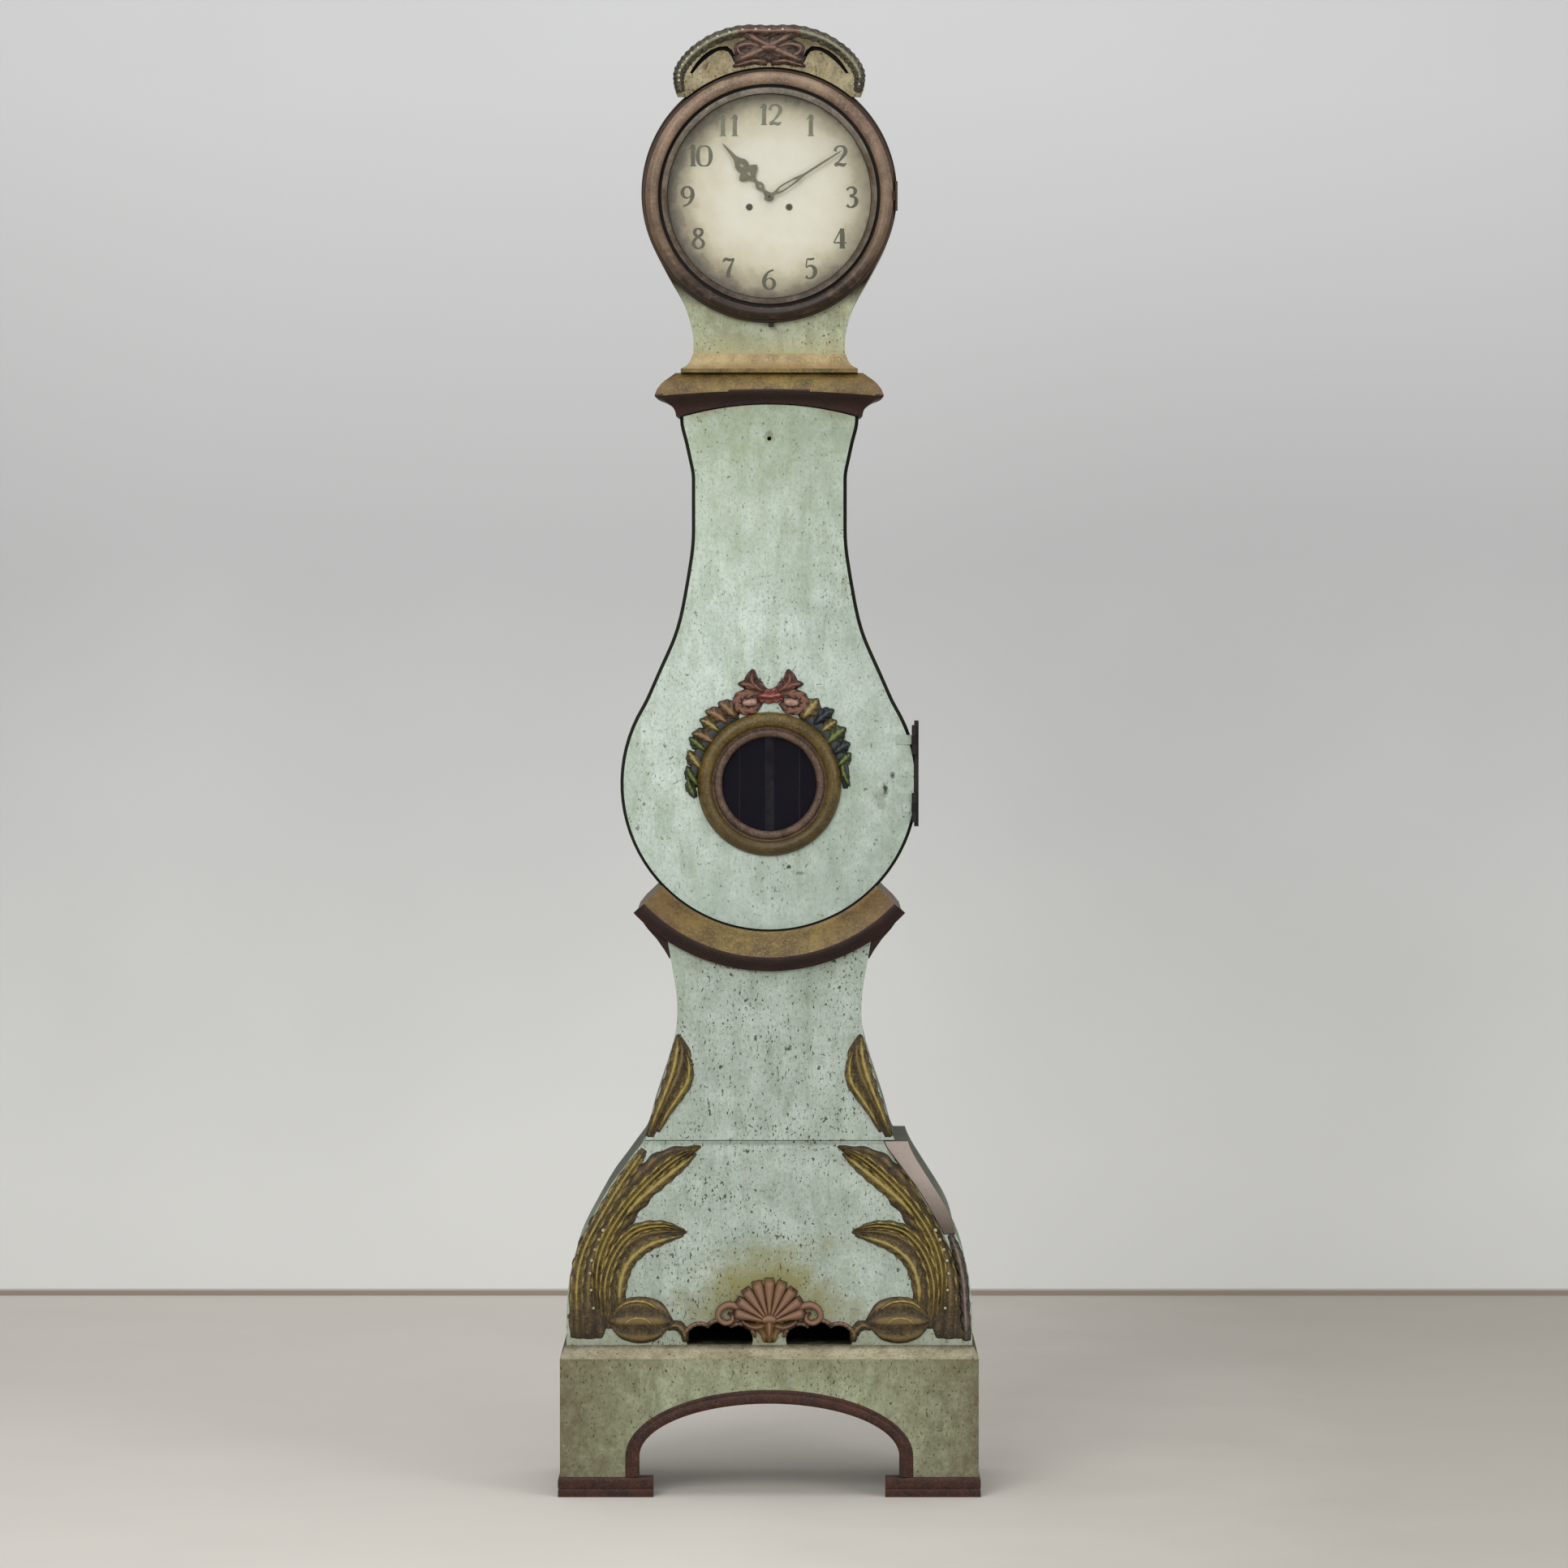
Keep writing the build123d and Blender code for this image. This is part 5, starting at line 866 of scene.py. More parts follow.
def lobe(bm, spine, widths, lift, flutes=2, face=FACE, along=22, across=16, hollow=0.0, cut=0.32, veins=0,
         finish=0):
    """Lay one carved lobe on a board. spine is (x, z) points, widths the half widths along it.

    lift is the greatest height over the board, flutes the number of gouge cuts along the lobe, and
    veins the number of slanting cuts that run from the middle out to its edges. hollow turns the
    rounded section into a dished one, as on a ribbon.
    """
    line = curve_through([(x, z, 0) for x, z in spine], 10)
    halves = curve_through([(w, 0, 0) for w in widths], 10)
    depth = bm.verts.layers.float.get("depth") or bm.verts.layers.float.new("depth")
    old_verts, old_faces = set(bm.verts), set(bm.faces)
    bmesh.ops.create_grid(bm, x_segments=along, y_segments=across, size=0.5)
    for v in (v for v in bm.verts if v not in old_verts):
        u, w = v.co.x + 0.5, 2 * v.co.y
        at = u * (len(line) - 1)
        i = min(int(at), len(line) - 2)
        here = line[i].lerp(line[i + 1], at - i)
        ahead = (line[i + 1] - line[i]).normalized()
        at = u * (len(halves) - 1)
        i = min(int(at), len(halves) - 2)
        half = max(0.05, halves[i].lerp(halves[i + 1], at - i).x)
        notch = 1 - (0.5 + 0.5 * cos(2 * pi * (veins * u - 0.8 * abs(w)))) if veins else 0.0
        half *= 1 - 0.13 * notch * abs(w)
        round_over = sqrt(max(0.0, 1 - w * w))
        rise = round_over * (1 - hollow) + hollow * min(1.0, 0.35 + 0.9 * w * w) * min(1.0,
                                                                                       3.5 * round_over)
        gouge = 0.5 + 0.5 * cos((flutes * 2 + 1) * pi * w * 0.5) if flutes else 1.0
        ends = min(1.0, 6 * u, 5 * (1 - u)) ** 0.5
        level = rise * (1 - cut + cut * gouge) * ends * (1 - 0.45 * notch * abs(w))
        v[depth] = min(1.0, 1.5 * round_over) * ends * (1 - 0.6 * notch * abs(w)) * (0.3 + 0.7 * gouge)
        v.co = (here.x - ahead.y * w * half, face + SUNK - (lift + SUNK) * level,
                here.y + ahead.x * w * half)
    rim = [e for e in bm.edges if e.is_boundary and e.verts[0] not in old_verts]
    skirt = bmesh.ops.extrude_edge_only(bm, edges=rim)["geom"]
    for v in (v for v in skirt if isinstance(v, bmesh.types.BMVert)):
        v.co.y = face + ROOT
        v[depth] = 0.0
    bmesh.ops.contextual_create(
        bm, geom=[e for e in skirt if isinstance(e, bmesh.types.BMEdge) and e.is_boundary])
    for f in bm.faces:
        if f not in old_faces:
            f.material_index = finish


def bead(bm, x, y, z, size, finish):
    """A small rounded bead."""
    depth = bm.verts.layers.float.get("depth")
    ball = bmesh.ops.create_icosphere(bm, subdivisions=2, radius=size)["verts"]
    bmesh.ops.scale(bm, vec=(1, 0.7, 1), verts=ball)
    bmesh.ops.translate(bm, vec=(x, y, z), verts=ball)
    for v in ball:
        v[depth] = 0.9
        for f in v.link_faces:
            f.material_index = finish

# %% The right-hand copy
def mirrored(bm, mend):
    """Copy the left-hand carving to the right, and mend each point of the copy."""
    copy = bmesh.ops.duplicate(bm, geom=bm.verts[:] + bm.edges[:] + bm.faces[:])["geom"]
    twins = [v for v in copy if isinstance(v, bmesh.types.BMVert)]
    bmesh.ops.scale(bm, vec=(-1, 1, 1), verts=twins)
    bmesh.ops.reverse_faces(bm, faces=[f for f in copy if isinstance(f, bmesh.types.BMFace)])
    for v in twins:
        mend(v)


# %% Leaves of the base
EDGE = [(291.0, 214.0), (286.0, 313.0), (276.0, 352.0), (252.3, 400.0), (221.0, 452.4), (209.0, 468.0),
        (194.5, 488.0), (180.5, 507.0)]      # half width of the base against height
STRIP = 15.2             # on the right the side board shows this far in, between two heights
STRIP_LOW = 216.0        # the leaf draws in between these two heights
STRIP_FULL = 240.0
STRIP_HIGH = 508.0


def cut_at_strip(v):
    """On the right the leaf stops at the edge of the side board that shows there."""
    for (x0, z0), (x1, z1) in zip(EDGE, EDGE[1:]):
        if z0 <= v.co.z < z1 and STRIP_LOW < v.co.z < STRIP_HIGH:
            slope = (x1 - x0) / (z1 - z0)
            share = min(1.0, (v.co.z - STRIP_LOW) / (STRIP_FULL - STRIP_LOW))
            v.co.x = min(v.co.x, x0 + slope * (v.co.z - z0) - share * STRIP * hypot(1, slope))


bm = bmesh.new()
# upper leaf, along the waist
lobe(bm, [(-172, 513), (-159, 545), (-145, 575), (-131, 606), (-125, 636), (-131, 662)],
     [7, 10, 14, 18, 13, 2], 4.0, 2, along=60, across=24, veins=6, finish=1)
lobe(bm, [(-174, 513), (-161, 548), (-148, 580), (-137, 612), (-132, 640), (-132, 660)],
     [4, 6, 8, 10, 8, 1.5], 8.6, 1, along=50, veins=8)
lobe(bm, [(-160, 520), (-146, 548), (-130, 572), (-117, 594), (-115, 618), (-122, 642)],
     [3, 6, 8, 8, 6, 1.5], 9.2, 1, along=50, veins=7)
# lower leaf: the long frond, up to the joint between the boards
lobe(bm, [(-258, 220), (-259, 300), (-249, 350), (-220, 400), (-181, 446), (-146, 480), (-96, 501)],
     [31, 28, 28, 28, 25, 19, 2], 3.2, 3, along=110, across=30, veins=11, finish=1)
lobe(bm, [(-275, 222), (-276, 300), (-266, 350), (-242, 398), (-213, 446), (-188, 482), (-179, 496)],
     [13, 11.5, 10.5, 10, 10, 8.5, 5], 7.4, 2, along=110, across=22, cut=0.4, veins=14)
lobe(bm, [(-246, 262), (-247, 320), (-234, 366), (-206, 412), (-172, 450), (-136, 481), (-97, 500)],
     [9, 12, 13, 13, 12, 10, 1.5], 9.6, 3, along=110, across=34, cut=0.45, veins=13)
lobe(bm, [(-216, 388), (-190, 420), (-158, 448), (-128, 472), (-104, 490)], [6, 10, 11, 9, 1.5], 8.0, 1,
     along=70, veins=8)
# the frond that curls inwards
lobe(bm, [(-230, 236), (-231, 300), (-217, 342), (-190, 369), (-154, 378), (-117, 376)],
     [20, 23, 24, 20, 14, 2], 4.4, 3, along=90, across=30, veins=9, finish=1)
lobe(bm, [(-234, 250), (-235, 304), (-220, 348), (-192, 378), (-154, 386), (-120, 379)],
     [11, 13, 13, 11, 8, 1.5], 9.7, 3, along=90, across=34, cut=0.45, veins=11)
lobe(bm, [(-214, 262), (-214, 300), (-203, 332), (-180, 354), (-152, 366), (-122, 372)],
     [8, 11, 11, 10, 8, 1.5], 8.0, 1, along=80, veins=9)
# the boss and the little scroll at the foot
lobe(bm, [(-232, 249), (-215, 249), (-200, 250), (-185, 250), (-170, 250), (-155, 249), (-138, 247)],
     [3, 25, 32, 34, 32, 25, 3], 9.0, 2, along=60, across=40, cut=0.25, finish=1)
lobe(bm, [(-224, 262), (-203, 276), (-176, 276), (-152, 260)], [3, 6, 6, 3], 9.7, 1, along=50, veins=7)
lobe(bm, [(-212, 240), (-198, 252), (-178, 252), (-164, 240)], [3, 6, 6, 3], 9.9, 1, along=40, veins=5)
lobe(bm, [(-147, 238), (-134, 243), (-123, 234), (-120, 218)], [5, 8, 8, 4], 7.8, 1, along=40, veins=4,
     finish=1)
stem = curve_through([(-252, 268, 0), (-257, 318, 0), (-250, 352, 0), (-238, 380, 0)], 4)
for k, p in enumerate(stem[::2]):
    bead(bm, p.x, FACE - 7.6, p.y, 2.0 + 0.12 * k, 2)
mirrored(bm, cut_at_strip)
lobe(bm, [(283, 219), (281, 262), (278, 306), (270, 345), (259, 374)], [8, 8, 8, 8, 5], 6.0, 1, along=70,
     veins=9, finish=3)
finish_piece(bm, "carved_base_leaves", "case", [leaf_gold, leaf_body, leaf_bead, leaf_edge],
             ["base_leaves"], sharp=60)

# %% Shell and scrolls of the base
SCALLOP_MIDDLE = 71.5    # of the three arcs on each side of the shell
SCALLOP_PITCH = 28.0
SCALLOP_RADIUS = 20.0
CAP_TOP = 214.0
SHELL = 256.0            # height of the point that the ribs spread from
SHELL_RIBS = 9
bm = bmesh.new()
for i in range(SHELL_RIBS):
    a = radians(6 + 168 * i / (SHELL_RIBS - 1))
    reach = 53 + 2.5 * (1 - abs(cos(a)))
    spine = [(reach * r * cos(a), SHELL - 8 * (1 - r) + reach * r * sin(a)) for r in (0.04, 0.4, 0.75, 1.0)]
    lobe(bm, spine, [2.2, 4.6, 8.2, 7.2], 15.5, 0, along=24, across=14)
for i in range(SHELL_RIBS - 1):
    a = radians(6 + 168 * (i + 0.5) / (SHELL_RIBS - 1))
    lobe(bm, [(10 * cos(a), SHELL + 8 * sin(a)), (44 * cos(a), SHELL + 43 * sin(a))], [3, 7], 4.0, 0,
         finish=1)
lobe(bm, [(-13, 250), (0, 253), (13, 250)], [5, 8, 5], 15.5, 0, along=18, across=14)
lobe(bm, [(0, 254), (0, 239), (0, 217)], [25, 20, 8], 9, 2, along=30, across=24, veins=3)
lobe(bm, [(0, 252), (0, 238), (0, 221)], [10, 9, 2], 13, 1, along=20, across=14)
for side in (-1, 1):
    lobe(bm, [(side * x, z) for x, z in ((4, 244), (20, 240), (34, 245), (42, 254))], [6, 6.5, 6, 2], 12, 1,
         along=24, across=12)
    lobe(bm, [(side * x, z) for x, z in ((34, 258), (44, 268), (58, 272), (70, 266), (73, 254), (64, 246),
                                         (54, 249), (53, 257), (60, 260))],
         [3, 5, 5.5, 5, 4.6, 4.2, 3.8, 3.2, 2.2], 10.4, 0, along=60, across=12)
    for k in (-1, 0, 1):
        rise = 13.0 if k == 0 else 8.0
        cx = side * (SCALLOP_MIDDLE + k * SCALLOP_PITCH)
        low, high = (40, 140) if k == 0 else ((6, 128) if k * side > 0 else (52, 174))
        arc = []
        for d in range(9):
            a = radians(low + (high - low) * d / 8)
            arc.append((cx + (SCALLOP_RADIUS + 3.2) * cos(a),
                        CAP_TOP + rise + (SCALLOP_RADIUS + 3.2) * sin(a)))
        arc = [(x, max(z, CAP_TOP + 3.5)) for x, z in arc]
        lobe(bm, arc, [2.9, 3.1, 2.9], 6.5, 0, along=36, across=8, veins=7)
finish_piece(bm, "carved_shell_and_scrolls", "case", [shell_red, leaf_body], ["base_shell"],
             sharp=60)

# %% [markdown]
# ## Garland and bow
# Oak leaves hang down both sides of the pendulum window from a tied ribbon. Each leaf is one lobe
# with a groove for its midrib, and they overlap as they go round.

# %% Leaves round the window
GOLD, RUST, GREEN, SHADE = 0, 1, 2, 3
LEFT_LEAVES = [(-46, 1114, -73, 1137, 15, RUST), (-58, 1106, -92, 1124, 13, RUST),
               (-70, 1094, -100, 1112, 12, GOLD),
               (-78, 1078, -111, 1092, 13, RUST), (-90, 1066, -115, 1086, 11, GREEN),
               (-96, 1040, -116, 1068, 12, GOLD), (-101, 1016, -118, 1046, 10, GREEN),
               (-105, 1000, -116, 1028, 8, GREEN)]
RIGHT_LEAVES = [(46, 1112, 70, 1142, 17, GOLD), (62, 1104, 93, 1126, 12, SHADE),
                (74, 1094, 97, 1110, 11, GOLD),
                (80, 1076, 110, 1100, 14, GREEN), (90, 1062, 116, 1078, 12, SHADE),
                (96, 1044, 117, 1064, 11, GREEN), (104, 1052, 115, 1016, 9, GREEN)]
bm = bmesh.new()
for side in (-1, 1):
    arc = [(side * 109 * cos(radians(a)), BELLY + 109 * sin(radians(a))) for a in (66, 52, 38, 24, 10, -4)]
    lobe(bm, arc, [8, 8, 8, 8, 7, 4], 4.5, 0, DOOR_FACE, 50, 10, finish=SHADE)
for i, (x0, z0, x1, z1, half, finish) in enumerate(LEFT_LEAVES + RIGHT_LEAVES):
    side = -1 if x0 < 0 else 1
    bend = ((x0 + x1) / 2 + 0.10 * side * (z1 - z0), (z0 + z1) / 2 + 0.12 * abs(x1 - x0))
    lobe(bm, [(x0, z0), bend, (x1, z1)], [0.5 * half, half, 1.3], 10.4 - 0.4 * (i % 3), 1, DOOR_FACE, 36,
         18, cut=0.42, veins=4, finish=finish)
finish_piece(bm, "carved_garland", "trunk_door", [garland_gold, garland_rust, garland_green, garland_shade],
             ["garland"], sharp=60)

# %% Ribbon bow
bm = bmesh.new()
HOLE, KNOT = 1, 2        # their finishes; the loops and tails have the first one
for side in (-1, 1):
    x = 2 + 2 * side
    lobe(bm, [(x + side * 5, 1150), (x + side * 18, 1158), (x + side * 25, 1168), (x + side * 23, 1184)],
         [7, 12, 13, 2], 10.5, 2, DOOR_FACE, 40, 20, veins=3)
    lobe(bm, [(x + side * 12, 1154), (x + side * 28, 1161), (x + side * 45, 1163)], [8, 11, 1.5], 9.0, 1,
         DOOR_FACE, 36, 16, veins=3)
    lobe(bm, [(x + side * 10, 1146), (x + side * 27, 1149), (x + side * 42, 1145), (x + side * 46, 1134),
              (x + side * 38, 1125), (x + side * 22, 1126), (x + side * 12, 1137)],
         [5, 7, 7.5, 7, 6.5, 6, 4.5], 10.0, 0, DOOR_FACE, 60, 14, hollow=0.35, veins=8)
    lobe(bm, [(x + side * 17, 1137), (x + side * 28, 1136), (x + side * 39, 1135)], [4, 6, 3], 8.0, 0,
         DOOR_FACE, finish=HOLE)
lobe(bm, [(-18, 1146), (-8, 1146), (2, 1145), (12, 1147), (21, 1148)], [9, 12, 11, 12, 9], 11.4, 2,
     DOOR_FACE, 40, 20, cut=0.3, veins=4, finish=KNOT)
finish_piece(bm, "carved_ribbon_bow", "trunk_door", [bow_red, bow_pink, bow_knot],
             ["ribbon_bow"], sharp=60)

# %% [markdown]
# ## Crest
# The crest over the hood is a pierced board with a carved rope round its edge and a crossed ribbon
# in the middle. The rope is one long lobe along the edge, with small beads set on it.

# %% Rope and ribbon of the crest
CREST_BACK = FACE - 12.0
BAND_HALF = 9.2
CREST = [(134.0, 1999.0), (138.0, 2018.0), (136.3, 2036.0), (124.7, 2055.0), (106.7, 2072.5),
         (77.0, 2090.0), (38.0, 2100.0)]
middle = []
for i, (x, z) in enumerate(CREST):
    before = CREST[max(i - 1, 0)]
    after = CREST[min(i + 1, len(CREST) - 1)]
    dx, dz = after[0] - before[0], after[1] - before[1]
    step = hypot(dx, dz)
    middle.append((x - (BAND_HALF + 0.6) * dz / step, z + (BAND_HALF + 0.6) * dx / step))
middle[0] = (125.5, 2003.0)
middle[-1] = (38.0, 2090.2)
path = middle + [(0.0, 2090.2)] + [(-x, z) for x, z in reversed(middle)]
bm = bmesh.new()
lobe(bm, path, [7.0, BAND_HALF, BAND_HALF, BAND_HALF, BAND_HALF, BAND_HALF, 7.0], 8.2, 1, CREST_BACK,
     along=260, across=18, cut=0.45, veins=34)
line = curve_through([(x, z, 0) for x, z in path], 4)
for p in line[26:-3:2]:
    bead(bm, p.x, CREST_BACK - 7.0, p.y + 1.5, 1.9, 1)
for p in line[3:26:3]:
    bead(bm, p.x, CREST_BACK - 6.6, p.y, 1.4, 1)
for f in bm.faces:
    if abs(f.calc_center_median().x) < 44 and f.material_index == 0:
        f.material_index = 2
finish_piece(bm, "carved_crest_rope", "hood", [crest_leaf, crest_bead, crest_ribbon],
             ["crest_carving"], sharp=60)
bm = bmesh.new()
lobe(bm, [(-50, 2058), (-20, 2063), (20, 2063), (50, 2058)], [12, 19, 19, 12], 3.6, 3, CREST_BACK, 50, 24,
     veins=9, finish=1)
for side in (-1, 1):
    lobe(bm, [(side * 50, 2047), (side * 24, 2058), (-side * 10, 2074), (-side * 40, 2091)], [8, 10, 10, 5],
         9.4, 1, CREST_BACK, 50, 16, hollow=0.3, veins=4)
    lobe(bm, [(side * 6, 2064), (side * 26, 2072), (side * 44, 2068), (side * 40, 2058), (side * 22, 2056)],
         [5, 7, 6, 5, 3], 7.6, 1, CREST_BACK, 44, 14, hollow=0.35, veins=3)
    lobe(bm, [(side * 2, 2046), (side * 22, 2048), (side * 38, 2044), (side * 52, 2040)], [6, 6, 5, 2], 6.6,
         1, CREST_BACK, 40, 12, veins=4)
lobe(bm, [(-14, 2066), (0, 2067), (14, 2066)], [7, 9, 7], 9.8, 1, CREST_BACK, 24, 16)
finish_piece(bm, "carved_crest_ribbon", "hood", [crest_ribbon, crest_hollow_shade], sharp=60)

# %% [markdown]
# ## Numerals
# A dial painter draws each numeral with a brush held at a slant: upright strokes come out thick and
# level ones thin. So each numeral is a curve whose radius changes along it, made a flat mesh and
# laid on the dial.

# %% Numerals
NUMERAL_HIGH = 29.0
NUMERAL_RING = 117.0
BRUSH = 1.12             # weight of the strokes
DIGIT_PITCH = 0.58       # between the digits of one numeral, as a share of its height
DIAL_FACE = -80.0
PAINT_THICK = 0.02
# Each digit is a few strokes, and each stroke a row of (x, z, brush radius) in shares of its height.
STROKES = {
    "0": [[(0, .99, .03), (.2, .93, .06), (.3, .7, .1), (.32, .5, .11), (.3, .3, .1), (.2, .07, .06),
           (0, .01, .03), (-.2, .07, .06), (-.3, .3, .1), (-.32, .5, .11), (-.3, .7, .1), (-.2, .93, .06),
           (0, .99, .03)]],
    "1": [[(-.16, .82, .03), (-.06, .9, .05), (.03, .97, .1), (.03, .7, .11), (.03, .3, .11),
           (.03, .03, .11)],
          [(-.13, .015, .03), (.19, .015, .03)]],
    "2": [[(-.26, .72, .09), (-.2, .9, .06), (0, .98, .04), (.2, .9, .08), (.25, .7, .11), (.14, .48, .08),
           (-.08, .22, .045), (-.26, .05, .04), (-.05, .09, .08), (.15, .05, .09), (.3, .14, .03)]],
    "3": [[(-.22, .84, .07), (-.08, .96, .04), (.12, .94, .07), (.2, .78, .1), (.12, .62, .06),
           (-.06, .55, .03),
           (.14, .5, .06), (.25, .3, .11), (.16, .08, .08), (-.06, .0, .04), (-.22, .1, .08)]],
    "4": [[(.06, .97, .05), (-.14, .6, .035), (-.32, .28, .035)],
          [(-.32, .27, .035), (0, .27, .045), (.32, .27, .03)],
          [(.1, .97, .08), (.1, .6, .11), (.1, .03, .11)], [(-.04, .015, .03), (.24, .015, .03)]],
    "5": [[(.2, .97, .05), (0, .94, .06), (-.16, .95, .04)],
          [(-.16, .95, .03), (-.19, .75, .035), (-.2, .55, .03)],
          [(-.2, .53, .03), (.0, .62, .05), (.2, .5, .1), (.24, .3, .11), (.12, .06, .07), (-.08, .0, .04),
           (-.22, .1, .08)]],
    "6": [[(.2, .95, .05), (-.02, .86, .05), (-.2, .62, .09), (-.26, .36, .11), (-.18, .1, .08),
           (.02, .0, .04),
           (.2, .12, .08), (.24, .32, .1), (.14, .5, .06), (-.04, .54, .03), (-.18, .42, .03)]],
    "7": [[(-.26, .82, .05), (-.14, .94, .08), (.08, .9, .08), (.28, .97, .04)],
          [(.28, .96, .04), (.14, .66, .06), (.02, .34, .1), (-.02, .03, .11)]],
    "8": [[(.0, .98, .04), (.17, .88, .08), (.16, .7, .08), (-.02, .56, .07), (-.2, .38, .08),
           (-.24, .2, .1),
           (-.12, .03, .06), (.04, .0, .04), (.22, .12, .08), (.24, .3, .08), (.06, .5, .05),
           (-.16, .7, .09), (-.16, .88, .08), (.0, .98, .04)]],
    "9": [[(-.2, .05, .05), (.02, .14, .05), (.2, .38, .09), (.26, .64, .11), (.18, .9, .08),
           (-.02, 1.0, .04),
           (-.2, .88, .08), (-.24, .68, .1), (-.14, .5, .06), (.04, .46, .03), (.18, .58, .03)]],
}
pieces = []
for hour in range(1, 13):
    a = radians(90 - 30 * hour)
    text = str(hour)
    for place, digit in enumerate(text):
        shift = (place - (len(text) - 1) / 2) * DIGIT_PITCH * NUMERAL_HIGH
        data = bpy.data.curves.new("stroke", "CURVE")
        data.dimensions = "3D"
        data.bevel_depth = 1.0
        data.bevel_resolution = 1
        data.resolution_u = 5
        data.use_fill_caps = True
        for stroke in STROKES[digit]:
            line = data.splines.new("BEZIER")
            line.bezier_points.add(len(stroke) - 1)
            for point, (x, z, r) in zip(line.bezier_points, stroke):
                point.co = (NUMERAL_RING * cos(a) + shift + x * NUMERAL_HIGH, 0,
                            DIAL + NUMERAL_RING * sin(a) + (z - 0.5) * NUMERAL_HIGH)
                point.radius = r * BRUSH * NUMERAL_HIGH
                point.handle_left_type = "AUTO"
                point.handle_right_type = "AUTO"
        item = bpy.data.objects.new("stroke", data)
        scene.collection.objects.link(item)
        pieces.append(item)
bm = bmesh.new()
graph = bpy.context.evaluated_depsgraph_get()
for item in pieces:
    bm.from_mesh(item.evaluated_get(graph).to_mesh())
for item in pieces:
    bpy.data.objects.remove(item)
bmesh.ops.scale(bm, vec=(1, PAINT_THICK, 1), verts=bm.verts)
bmesh.ops.translate(bm, vec=(0, DIAL_FACE - PAINT_THICK, 0), verts=bm.verts)
finish_piece(bm, "painted_numerals", "case", [numeral_paint])

# %% [markdown]
# ## Gut lines
# Each weight hangs from a gut line that winds on its drum. As the weight rises the line between
# them gets shorter. Here each line is made at its full length, with a mesh of its own.

# %% Gut lines
LINE_X = 43.3
LINE_Y = -40.0
LINE_TOP = 1842.7
LINE_LOW = 501.1
GUT_RADIUS = 0.85
TWIST, PLY = 0.12, 0.06  # turns of the strands along the line, and how far they stand out
for side, name, joint, node_name in ((1, "gut_line_going", "time_weight_lift", "gut_time"),
                                     (-1, "gut_line_striking", "strike_weight_lift", "gut_strike")):
    bm = bmesh.new()
    bmesh.ops.create_cone(bm, cap_ends=True, segments=10, radius1=GUT_RADIUS, radius2=GUT_RADIUS,
                          depth=LINE_TOP - LINE_LOW)
    long_edges = [e for e in bm.edges if abs(e.verts[0].co.z - e.verts[1].co.z) > 10]
    bmesh.ops.subdivide_edges(bm, edges=long_edges, cuts=40)
    for v in bm.verts:
        turn = v.co.z * TWIST
        v.co.x, v.co.y = v.co.x * (1 + PLY * sin(turn)), v.co.y * (1 + PLY * cos(turn))
    bmesh.ops.translate(bm, vec=(side * LINE_X, LINE_Y, (LINE_TOP + LINE_LOW) / 2), verts=bm.verts)
    line = finish_piece(bm, name, "case", [gut], [node_name], sharp=80)
    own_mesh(line)

# %% [markdown]
# ## Floor, wall and light
# A pale floor meets a pale wall some way behind the clock. The light is a large soft source in
# front and above, with a weaker one on the right and one overhead, so carving casts small shadows
# and the paint keeps its own colours.

# %% Floor and wall
WALL_BEHIND = 2.20
STAGE_HALF = 12.0
WALL_HIGH = 5.0
FLOOR_AHEAD = 12.0


def studio_finish(name, size_mm, stops, line=None):
    """A matt pale surface with faint clouds. stops are (axis, from, to, colour), laid one over another as
    painted light and shade; line is a painted shadow along the foot.
    """
    material, tree, shader, place = new_finish(name)
    blots = cloud(tree, place, size_mm, 4.0, 0.5)
    parts = add(tree, "ShaderNodeSeparateXYZ", {0: place})
    coat = stops[0]
    for axis, start, full, tint in stops[1:]:
        value = times(tree, parts.outputs[axis], spread(tree, blots, 0.3, 0.7, -0.08, 0.08), "ADD")
        coat = mixed(tree, spread(tree, value, start, full), coat, tint)
    if line:
        coat = mixed(tree, spread(tree, parts.outputs["Z"], 0.014, 0.008), coat, line)
    coat = mixed(tree, spread(tree, blots, 0.3, 0.7, 0.0, 0.06), coat, "#8f8a84")
    coated(tree, shader, coat, 0.85, 0.15)
    return material


def one_sided(material):
    """Make the back of a surface clear, so that the wall hides nothing from behind."""
    tree = material.node_tree
    back = add(tree, "ShaderNodeNewGeometry").outputs["Backfacing"]
    clear = add(tree, "ShaderNodeBsdfTransparent").outputs["BSDF"]
    shader = tree.nodes["Principled BSDF"].outputs["BSDF"]
    both = add(tree, "ShaderNodeMixShader", {0: back, 1: shader, 2: clear})
    tree.links.new(both.outputs[0], tree.nodes["Material Output"].inputs["Surface"])
    return material


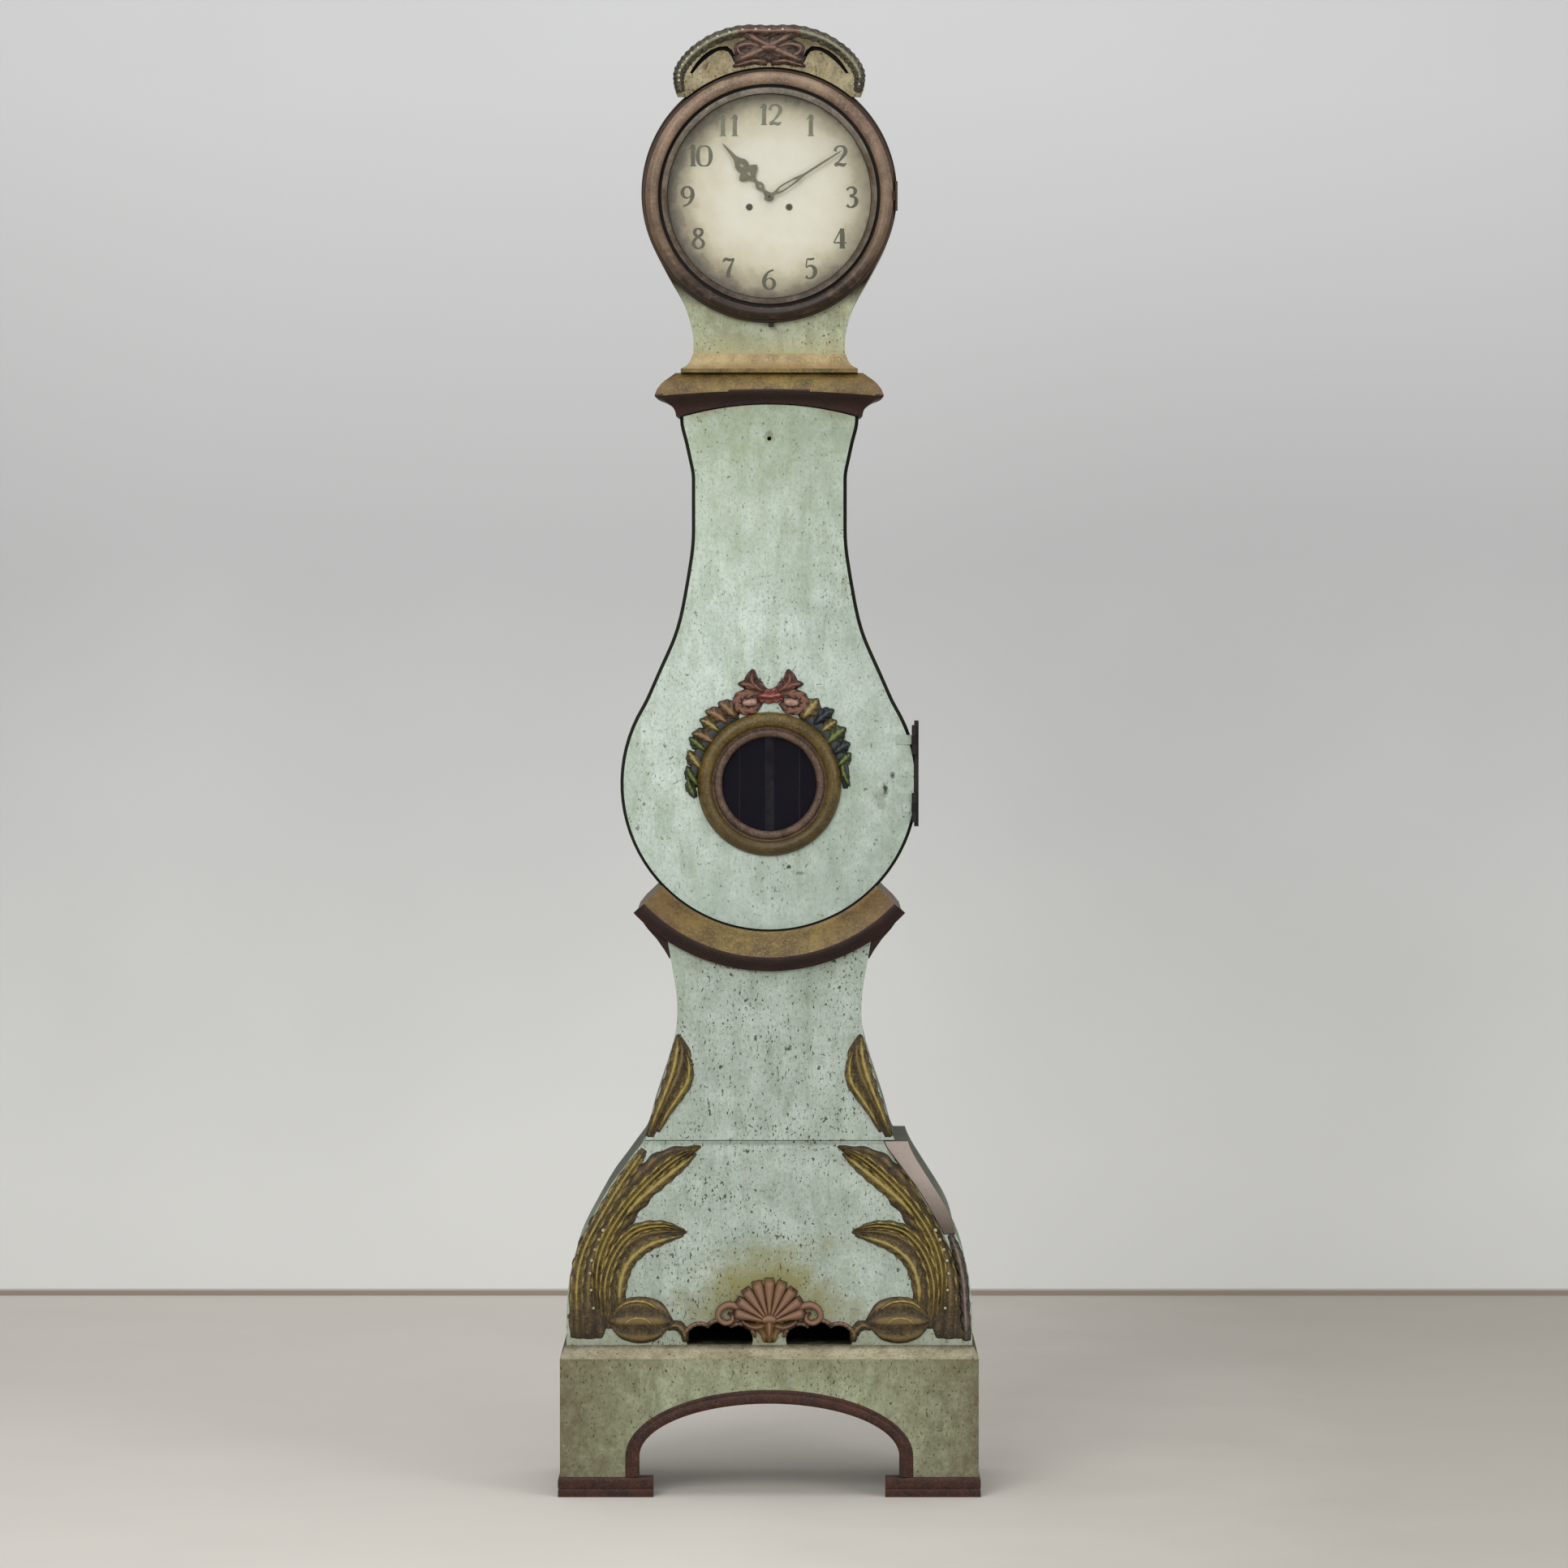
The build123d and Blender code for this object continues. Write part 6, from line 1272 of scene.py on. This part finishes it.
# The floor is darker towards the right: painted shadow of the clock.
floor_finish = studio_finish("pale_floor", 300.0, ["#ccc7bf", ("X", -0.10, 0.9, "#b3aea5")])
# The wall is darker at middle height than above and below: painted light and shade. The brown band at its
# foot is a painted shadow along the floor.
wall_finish = studio_finish("pale_wall", 900.0, ["#c1c3c3", ("Z", 1.38, 2.18, "#d1d3d3"),
                                                   ("Z", 1.31, 0.23, "#e1e2df")],
                            "#968b7d")
for name, finish, spots in (
        ("studio_floor", floor_finish, [(-STAGE_HALF, -FLOOR_AHEAD, 0), (STAGE_HALF, -FLOOR_AHEAD, 0),
                                        (STAGE_HALF, WALL_BEHIND, 0), (-STAGE_HALF, WALL_BEHIND, 0)]),
        ("studio_wall", one_sided(wall_finish),
         [(-STAGE_HALF, WALL_BEHIND, 0), (STAGE_HALF, WALL_BEHIND, 0),
                                                 (STAGE_HALF, WALL_BEHIND, WALL_HIGH),
                                                 (-STAGE_HALF, WALL_BEHIND, WALL_HIGH)])):
    bm = bmesh.new()
    bm.faces.new([bm.verts.new(p) for p in spots])
    mesh = bpy.data.meshes.new(name)
    bm.to_mesh(mesh)
    bm.free()
    mesh.materials.append(finish)
    piece = bpy.data.objects.new(name, mesh)
    scene.collection.objects.link(piece)

# %% Lamps and world
for name, place, aim, size, power in (
        ("front_lamp", (-1.6, -4.2, 3.4), (0, 0, 1.0), 2.6, 120.0),
        ("right_lamp", (3.0, -3.0, 1.8), (0, 0, 1.0), 2.0, 45.0),
        ("top_lamp", (0.0, -0.8, 4.4), (0, 0, 0.6), 2.4, 40.0)):
    data = bpy.data.lights.new(name, "AREA")
    data.shape = "DISK"
    data.size = size
    data.energy = power
    lamp = bpy.data.objects.new(name, data)
    lamp.location = place
    lamp.rotation_euler = (Vector(aim) - Vector(place)).to_track_quat("-Z", "Y").to_euler()
    scene.collection.objects.link(lamp)
world = bpy.data.worlds.new("soft_room")
world.use_nodes = True
world.node_tree.nodes["Background"].inputs["Color"].default_value = colour("#e6e6e8")
world.node_tree.nodes["Background"].inputs["Strength"].default_value = 0.75
scene.world = world
scene.view_settings.view_transform = "Standard"
